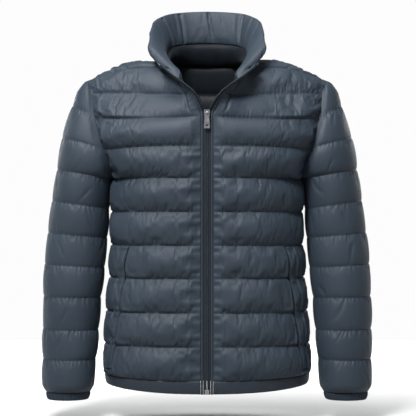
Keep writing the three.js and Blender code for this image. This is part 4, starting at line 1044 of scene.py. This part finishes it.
PER_CHANNEL = 18
BODY_COLUMNS = 150
BACK_COLUMNS = 140
SLEEVE_COLUMNS = 210
COLLAR_COLUMNS = 170
backs = whole_of(back_grid(BACK_COLUMNS, PER_CHANNEL))
COLLAR_ROWS = 34
closed_rows = sleeve_grid(9, PER_CHANNEL).level >= CAP_BOTTOM
ORIGINAL = lambda grid: grid

PANELS = {"back": Panel("back", backs, "shell", [SHELL, LINING_PAINTED_SHADE], 0.0, lining=LINING_PUFF, seed=3,
                        inner_step=(2, 2))}
for side, turn, sign in (("right", ORIGINAL, 1), ("left", mirror_of, -1)):
    name = "front_" + side
    PANELS[name] = Panel(name, turn(front_grid(BODY_COLUMNS, PER_CHANNEL)), "shell", [SHELL, LINING_PAINTED_SHADE],
                         -0.25 * sign, seed=10 + sign)
    name = "sleeve_" + side
    PANELS[name] = Panel(name, turn(sleeve_grid(SLEEVE_COLUMNS, PER_CHANNEL)), "shell", [SHELL, LINING_PAINTED_SHADE],
                         0.1 * sign, closed_rows, seed=20 + sign, scale=1.5)
PANELS["collar"] = Panel("collar", whole_of(collar_grid(COLLAR_COLUMNS, COLLAR_ROWS)), "collar",
                         [COLLAR, COLLAR], 0.0, lining=6.5, seed=6, scale=0.8, inner_step=(1, 2))

scene = bpy.context.scene
for panel in PANELS.values():
    panel.cloth()
for step in range(1, CLOTH_FRAMES + 1):
    scene.frame_set(step)
graph = bpy.context.evaluated_depsgraph_get()
for panel in PANELS.values():
    panel.take_cloth(graph)
scene.frame_set(1)
for panel in PANELS.values():
    panel.shape()
    panel.build()


def soft_wall(name, grid, inner_depth, material, heights=0.0, closed=None):
    """A thin band: its outer grid moved out by `heights`, and an inner face behind it."""
    grid.points = sway(grid.points)
    n = normals_of(grid.points, closed)
    outer = grid.points + n * (grid.puff + heights)[..., None]
    inner = grid.points - n * inner_depth
    uv = cloth_uv(grid.points, Rows(grid).along)
    obj = add_mesh(name + "_cloth", np.concatenate([outer.reshape(-1, 3), inner.reshape(-1, 3)]),
                   wall_faces(*grid.puff.shape), [material], np.concatenate([uv, uv]))
    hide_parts(name)
    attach(obj, "garment")


HEM_NET = (110, 9)
HEM_RIPPLE = {"height": 0.35, "length": 9.0, "sway": 1.7, "sway_length": 31.0}
CUFF_NET = (241, 9)
GATHERS = {"count": 46, "height": 0.55, "sways": 5, "sway": 2.2, "swell": 0.8}

hem = hem_grid(*HEM_NET)
hem_along = Rows(hem).along
hem_sway = HEM_RIPPLE["sway"] * np.sin(hem_along / HEM_RIPPLE["sway_length"])
hem_ripple = HEM_RIPPLE["height"] * np.sin(hem_along / HEM_RIPPLE["length"] + hem_sway)
soft_wall("hem_band", hem, WALL, BAND, hem_ripple * puff_at(hem.share)[:, None])

turns = np.linspace(0, 1, CUFF_NET[0]) * 2 * math.pi
gathers = np.sin(turns * GATHERS["count"] + GATHERS["sway"] * np.sin(turns * GATHERS["sways"]))
swell = np.sin(np.linspace(0, 1, CUFF_NET[1]) * math.pi)[:, None] ** 0.5
cuff_heights = swell * (GATHERS["height"] * (gathers + 1) + GATHERS["swell"])
for side, turn in (("right", ORIGINAL), ("left", mirror_of)):
    soft_wall("cuff_" + side, turn(cuff_grid(*CUFF_NET)), CUFF["wall"], ELASTIC, cuff_heights,
              np.ones(CUFF_NET[1], bool))


# Zip: tapes, bindings and teeth

SECTION_STEP = 1.5  # length round the strip's section from one corner to the next, on its flat cloth


def strip_piece(name, heights, section, mirror, material, wobble=0.0):
    """A closed strip with a rounded section that follows the teeth edge."""
    rings = []
    for k, z in enumerate(heights):
        at, _, across, out = zip_frame(z)
        raised = wobble * math.sin(k * 1.3 + 2 * math.sin(k * 0.37))
        rings.append([at + across * a + out * (b + raised * (b > 0)) for a, b in section])
    points = np.array(rings)
    points[..., 0] *= mirror
    points = sway(points)
    count = len(section)
    index = np.arange(points.shape[0] * count).reshape(-1, count)
    nxt = np.roll(index, -1, axis=1)
    sides = np.stack([index[:-1], nxt[:-1], nxt[1:], index[1:]], axis=-1).reshape(-1, 4)
    if mirror < 0:
        sides = sides[:, ::-1]
    caps = [np.array([list(index[0, ::-1] if mirror > 0 else index[0])]),
            np.array([list(index[-1] if mirror > 0 else index[-1, ::-1])])]
    run = run_of(points[:, 0])
    around = np.broadcast_to(np.arange(count) * SECTION_STEP, index.shape)
    uv = np.stack([around, np.repeat(run[:, None], count, axis=1)], axis=-1)
    obj = add_mesh(name + "_cloth", points, [sides] + caps, [material], uv)
    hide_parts(name)
    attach(obj, "garment")


def rounded_section(low, high, back, front, radius, steps=4):
    """Corners of a strip's section, its two front edges rounded."""
    section = [(low, back), (high, back)]
    for centre, begin in ((high - radius, 0.0), (low + radius, math.pi / 2)):
        for k in range(steps + 1):
            angle = begin + k / steps * math.pi / 2
            section.append((centre + radius * math.cos(angle), front - radius + radius * math.sin(angle)))
    return section


ZIP_HEIGHTS = np.concatenate([np.arange(HEM_BOTTOM, -130, 4.0), np.arange(-130, ZIP_TOP + 0.1, 1.5)])
ZIP_HEIGHTS[-1] = ZIP_TOP
BINDING = rounded_section(7.3, 11.8, -2.6, 1.2, 1.5)
TAPE = rounded_section(0.3, 7.0, -2.0, -0.2, 0.4)
for side, mirror in (("right", 1), ("left", -1)):
    strip_piece("placket_" + side, ZIP_HEIGHTS, BINDING, mirror, BAND, 0.15)
    strip_piece("zip_tape_" + side, ZIP_HEIGHTS, TAPE, mirror, TAPE_CLOTH)


BAR_OUTLINE = [(-1, 0.45), (-0.75, 1.0), (0.75, 1.0), (1, 0.45)]  # place along a bar, and its radius there


def bars(name, centres, axes, sizes, material, sides=6):
    """Many small rounded bars: for each a centre, three directions and three half sizes."""
    ring_angles = np.linspace(0, 2 * math.pi, sides + 1)[:-1]
    local = []
    for along, radius in BAR_OUTLINE:
        for a in ring_angles:
            local.append((along, radius * math.cos(a), radius * math.sin(a)))
    local = np.array(local)
    faces = []
    for k in range(3):
        for i in range(sides):
            j = (i + 1) % sides
            faces.append((k * sides + i, k * sides + j, (k + 1) * sides + j, (k + 1) * sides + i))
    ends = [tuple(range(sides - 1, -1, -1)), tuple(range(3 * sides, 4 * sides))]
    place = centres[:, None, :] + np.einsum("kb,nb,nbc->nkc", local, sizes, axes)
    shift = (np.arange(len(centres)) * 4 * sides)[:, None, None]
    quads = (np.array(faces)[None] + shift).reshape(-1, 4)
    caps = (np.array(ends)[None] + shift).reshape(-1, sides)
    obj = add_mesh(name, place.reshape(-1, 3), [quads, caps], [material])
    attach(obj, "garment")


ZIP_BOX_TOP = -652.0
TOOTH = {"pitch": 1.7, "length": 2.6, "thick": 0.62, "tall": 0.6, "across": 1.5, "front": 0.35,
         "first": 0.4, "below_top": 6}


def teeth(side, mirror):
    """The coil's rungs along one teeth edge."""
    heights = np.linspace(ZIP_BOX_TOP, ZIP_TOP - TOOTH["below_top"], 4000)
    line = np.array([zip_point(z, 0, 0) for z in heights])
    run = run_of(line)
    first = TOOTH["first"] + (TOOTH["pitch"] / 2 if mirror < 0 else 0)
    stops = np.arange(first, run[-1], TOOTH["pitch"])
    centres, axes = [], []
    for z in np.interp(stops, run, heights):
        at, along, across, out = zip_frame(z)
        centres.append(at + across * TOOTH["across"] + out * TOOTH["front"])
        axes.append([across, along, out])
    centres, axes = np.array(centres), np.array(axes)
    centres[:, 0] *= mirror
    axes[..., 0] *= mirror
    sizes = np.tile([TOOTH["length"] / 2, TOOTH["thick"], TOOTH["tall"]], (len(centres), 1))
    bars("zip_coil_" + side, sway(centres), axes, sizes, COIL)


for side, mirror in (("right", 1), ("left", -1)):
    teeth(side, mirror)


# Stitches in the channels' lines and round the collar

STITCH = {"pitch": 3.1, "length": 2.3, "thick": 0.3, "raised": 0.15, "from_end": 3.0}


def stitches(name, lines):
    """Short thread bars along lines, each given as its points and the normals there."""
    centres, axes = [], []
    for points, normals in lines:
        run = run_of(points)
        places = np.arange(STITCH["from_end"], run[-1] - STITCH["from_end"], STITCH["pitch"])
        read = lambda values, at: np.stack([np.interp(at, run, values[:, c]) for c in range(3)], axis=1)
        along = unit(read(points, places + 1) - read(points, places - 1))
        out = unit(read(normals, places))
        centres.append(read(points, places) + out * STITCH["raised"])
        axes.append(np.stack([along, unit(np.cross(out, along)), out], axis=1))
    centres, axes = np.concatenate(centres), np.concatenate(axes)
    sizes = np.tile([STITCH["length"] / 2, STITCH["thick"], STITCH["thick"]], (len(centres), 1))
    bars(name, centres, axes, sizes, THREAD, sides=4)


for name, panel in PANELS.items():
    if name == "collar":
        row = np.argmin(np.abs(panel.rows.high.mean(axis=1) - COLLAR_STITCH["from_top"]))
        lines = [(panel.outer[row], panel.normals[row])]
    else:
        lines = [(panel.outer[row], panel.normals[row]) for row in panel.rows.bounds[1:-1]]
    stitches("stitches_" + name, lines)

for node in ("zip_slider", "zip_pull", "zip_box", "top_stop_right", "top_stop_left"):
    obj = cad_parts[node]
    for slot in obj.material_slots:
        slot.material = METAL
    if not obj.material_slots:
        obj.data.materials.append(METAL)


# Pocket welts, laid on the finished fronts

def surface_at(panel, level, share, lift):
    """A point of a front's finished surface, at a level and a share of its width from the zip."""
    rows, columns = panel.outer.shape[:2]
    j = np.interp(level, panel.grid.level, np.arange(rows))
    u = share * (columns - 1) if panel.name.endswith("right") else (1 - share) * (columns - 1)
    j0, i0 = min(int(j), rows - 2), np.minimum(u.astype(int), columns - 2)
    a, b = j - j0, u - i0
    on_row = lambda g, j: mix(g[j, i0], g[j, i0 + 1], b[:, None])
    read = lambda g: mix(on_row(g, j0), on_row(g, j0 + 1), a)
    return read(panel.outer) + unit(read(panel.normals)) * np.asarray(lift)[:, None]


def welt_piece(side):
    panel = PANELS["front_" + side]
    rng = np.random.default_rng(RNG_SEED + 30 + len(side))
    ends = WELT["bottom"] + WELT_NET["from_end"], WELT["top"] - WELT_NET["from_end"]
    levels = np.linspace(*ends, WELT_NET["rows"])
    across = np.linspace(WELT_NET["from_side"], 1 - WELT_NET["from_side"], WELT_NET["columns"])
    arch = np.sin(math.pi * across)
    height = WELT_HEIGHT["edge"] + WELT_HEIGHT["middle"] * arch ** WELT_HEIGHT["roundness"]
    crease_at = np.sort(rng.uniform(0, 1, WELT_CREASE["count"]))[:, None]
    outer, inner = [], []
    for t, level in zip(np.linspace(0, 1, len(levels)), levels):
        share = welt_share(level) + WELT["width"] * across
        away = t - crease_at + WELT_CREASE["slant"] * (across - 0.5)
        crease = WELT_CREASE["depth"] * crease_shape(away / WELT_CREASE["width"]).sum(axis=0)
        outer.append(surface_at(panel, level, share, height - crease * arch))
        inner.append(surface_at(panel, level, share, np.full(len(across), WELT_HEIGHT["under"])))
    outer, inner = np.array(outer), np.array(inner)
    if side == "left":
        outer, inner = outer[:, ::-1], inner[:, ::-1]
    along = np.array([run_of(row) for row in outer])
    uv = cloth_uv(outer, along)
    points = np.concatenate([outer.reshape(-1, 3), inner.reshape(-1, 3)])
    faces = wall_faces(*along.shape)
    obj = add_mesh("pocket_welt_" + side + "_cloth", points, faces, [SHELL], np.concatenate([uv, uv]))
    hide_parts("pocket_welt_" + side)
    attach(obj, "garment")


for side in ("right", "left"):
    welt_piece(side)


# Floor, light and camera

def look_at(obj, target):
    direction = mathutils.Vector(target) - obj.location
    obj.rotation_euler = direction.to_track_quat("-Z", "Y").to_euler()


def area_light(name, place, target, power, size):
    data = bpy.data.lights.new(name, "AREA")
    data.shape = "RECTANGLE"
    data.size, data.size_y = size
    data.energy = power
    obj = bpy.data.objects.new(name, data)
    bpy.context.scene.collection.objects.link(obj)
    obj.location = place
    look_at(obj, target)
    return obj


floor_material = plain_material("floor", (0.42, 0.42, 0.42), 0.9)
FLOOR = -0.72
FLOOR_HALF = 1.7
corners = [(-1, -1), (1, -1), (1, 1), (-1, 1)]
floor = add_mesh("floor", np.array([(x * FLOOR_HALF, y * FLOOR_HALF, FLOOR) for x, y in corners]) / MM,
                 [np.array([[0, 1, 2, 3]])], [floor_material])

scene = bpy.context.scene
scene.view_settings.view_transform = "Standard"
world = bpy.data.worlds.new("studio")
scene.world = world
world.use_nodes = True
sky = world.node_tree
background = sky.nodes["Background"]
background.inputs["Strength"].default_value = 1.0
sky_place = sky.nodes.new("ShaderNodeTexCoord")
sky_axis = sky.nodes.new("ShaderNodeSeparateXYZ")
sky.links.new(sky_place.outputs["Generated"], sky_axis.inputs["Vector"])


def sky_share(axis, low, high):
    """How far along an axis the eye looks: 0 at the low value, 1 at the high one."""
    node = sky.nodes.new("ShaderNodeMapRange")
    node.inputs["From Min"].default_value = low
    node.inputs["From Max"].default_value = high
    sky.links.new(sky_axis.outputs[axis], node.inputs["Value"])
    return node.outputs["Result"]


# The sky from below to above, in front of the jacket and behind it: place and colour
SKY_BEFORE = [(0.38, (0.08, 0.084, 0.088)), (0.45, (0.6,)), (0.56, (0.6,)), (0.7, (0.14, 0.15, 0.165))]
SKY_BEHIND = [(0.38, (0.3, 0.31, 0.32)), (0.43, (0.98,)), (0.58, (0.98,)), (0.7, (0.16, 0.17, 0.185))]
sky_mix = sky.nodes.new("ShaderNodeMix")
sky_mix.data_type = "RGBA"
sky.links.new(sky_share("Y", -0.1, 0.6), sky_mix.inputs["Factor"])
sky_height = sky_share("Z", -1.0, 1.0)
for socket, stops in (("A", SKY_BEFORE), ("B", SKY_BEHIND)):
    sky.links.new(ramp_node(sky, sky_height, stops), sky_mix.inputs[socket])
sky.links.new(sky_mix.outputs["Result"], background.inputs["Color"])

MIDDLE = (0, 0, -0.3)
area_light("key", (-0.8, -1.75, 1.75), (0, 0, -0.2), 160, (0.8, 0.8))
area_light("fill", (2.2, -2.0, 1.6), MIDDLE, 6, (2.0, 2.0))
area_light("top", (-0.3, -0.6, 2.3), MIDDLE, 60, (1.4, 0.8))
area_light("backdrop", (0, 1.25, 0.1), (0, 1.25, -0.72), 85, (3.0, 0.9)).visible_camera = False

camera_data = bpy.data.cameras.new("camera")
camera = bpy.data.objects.new("camera", camera_data)
scene.collection.objects.link(camera)
camera.location = (0.002, -3.0, -0.304)
camera.rotation_euler = (math.radians(90), 0, 0)
camera_data.sensor_width = 36
camera_data.lens = 129.8
camera_data.clip_end = 100
scene.camera = camera
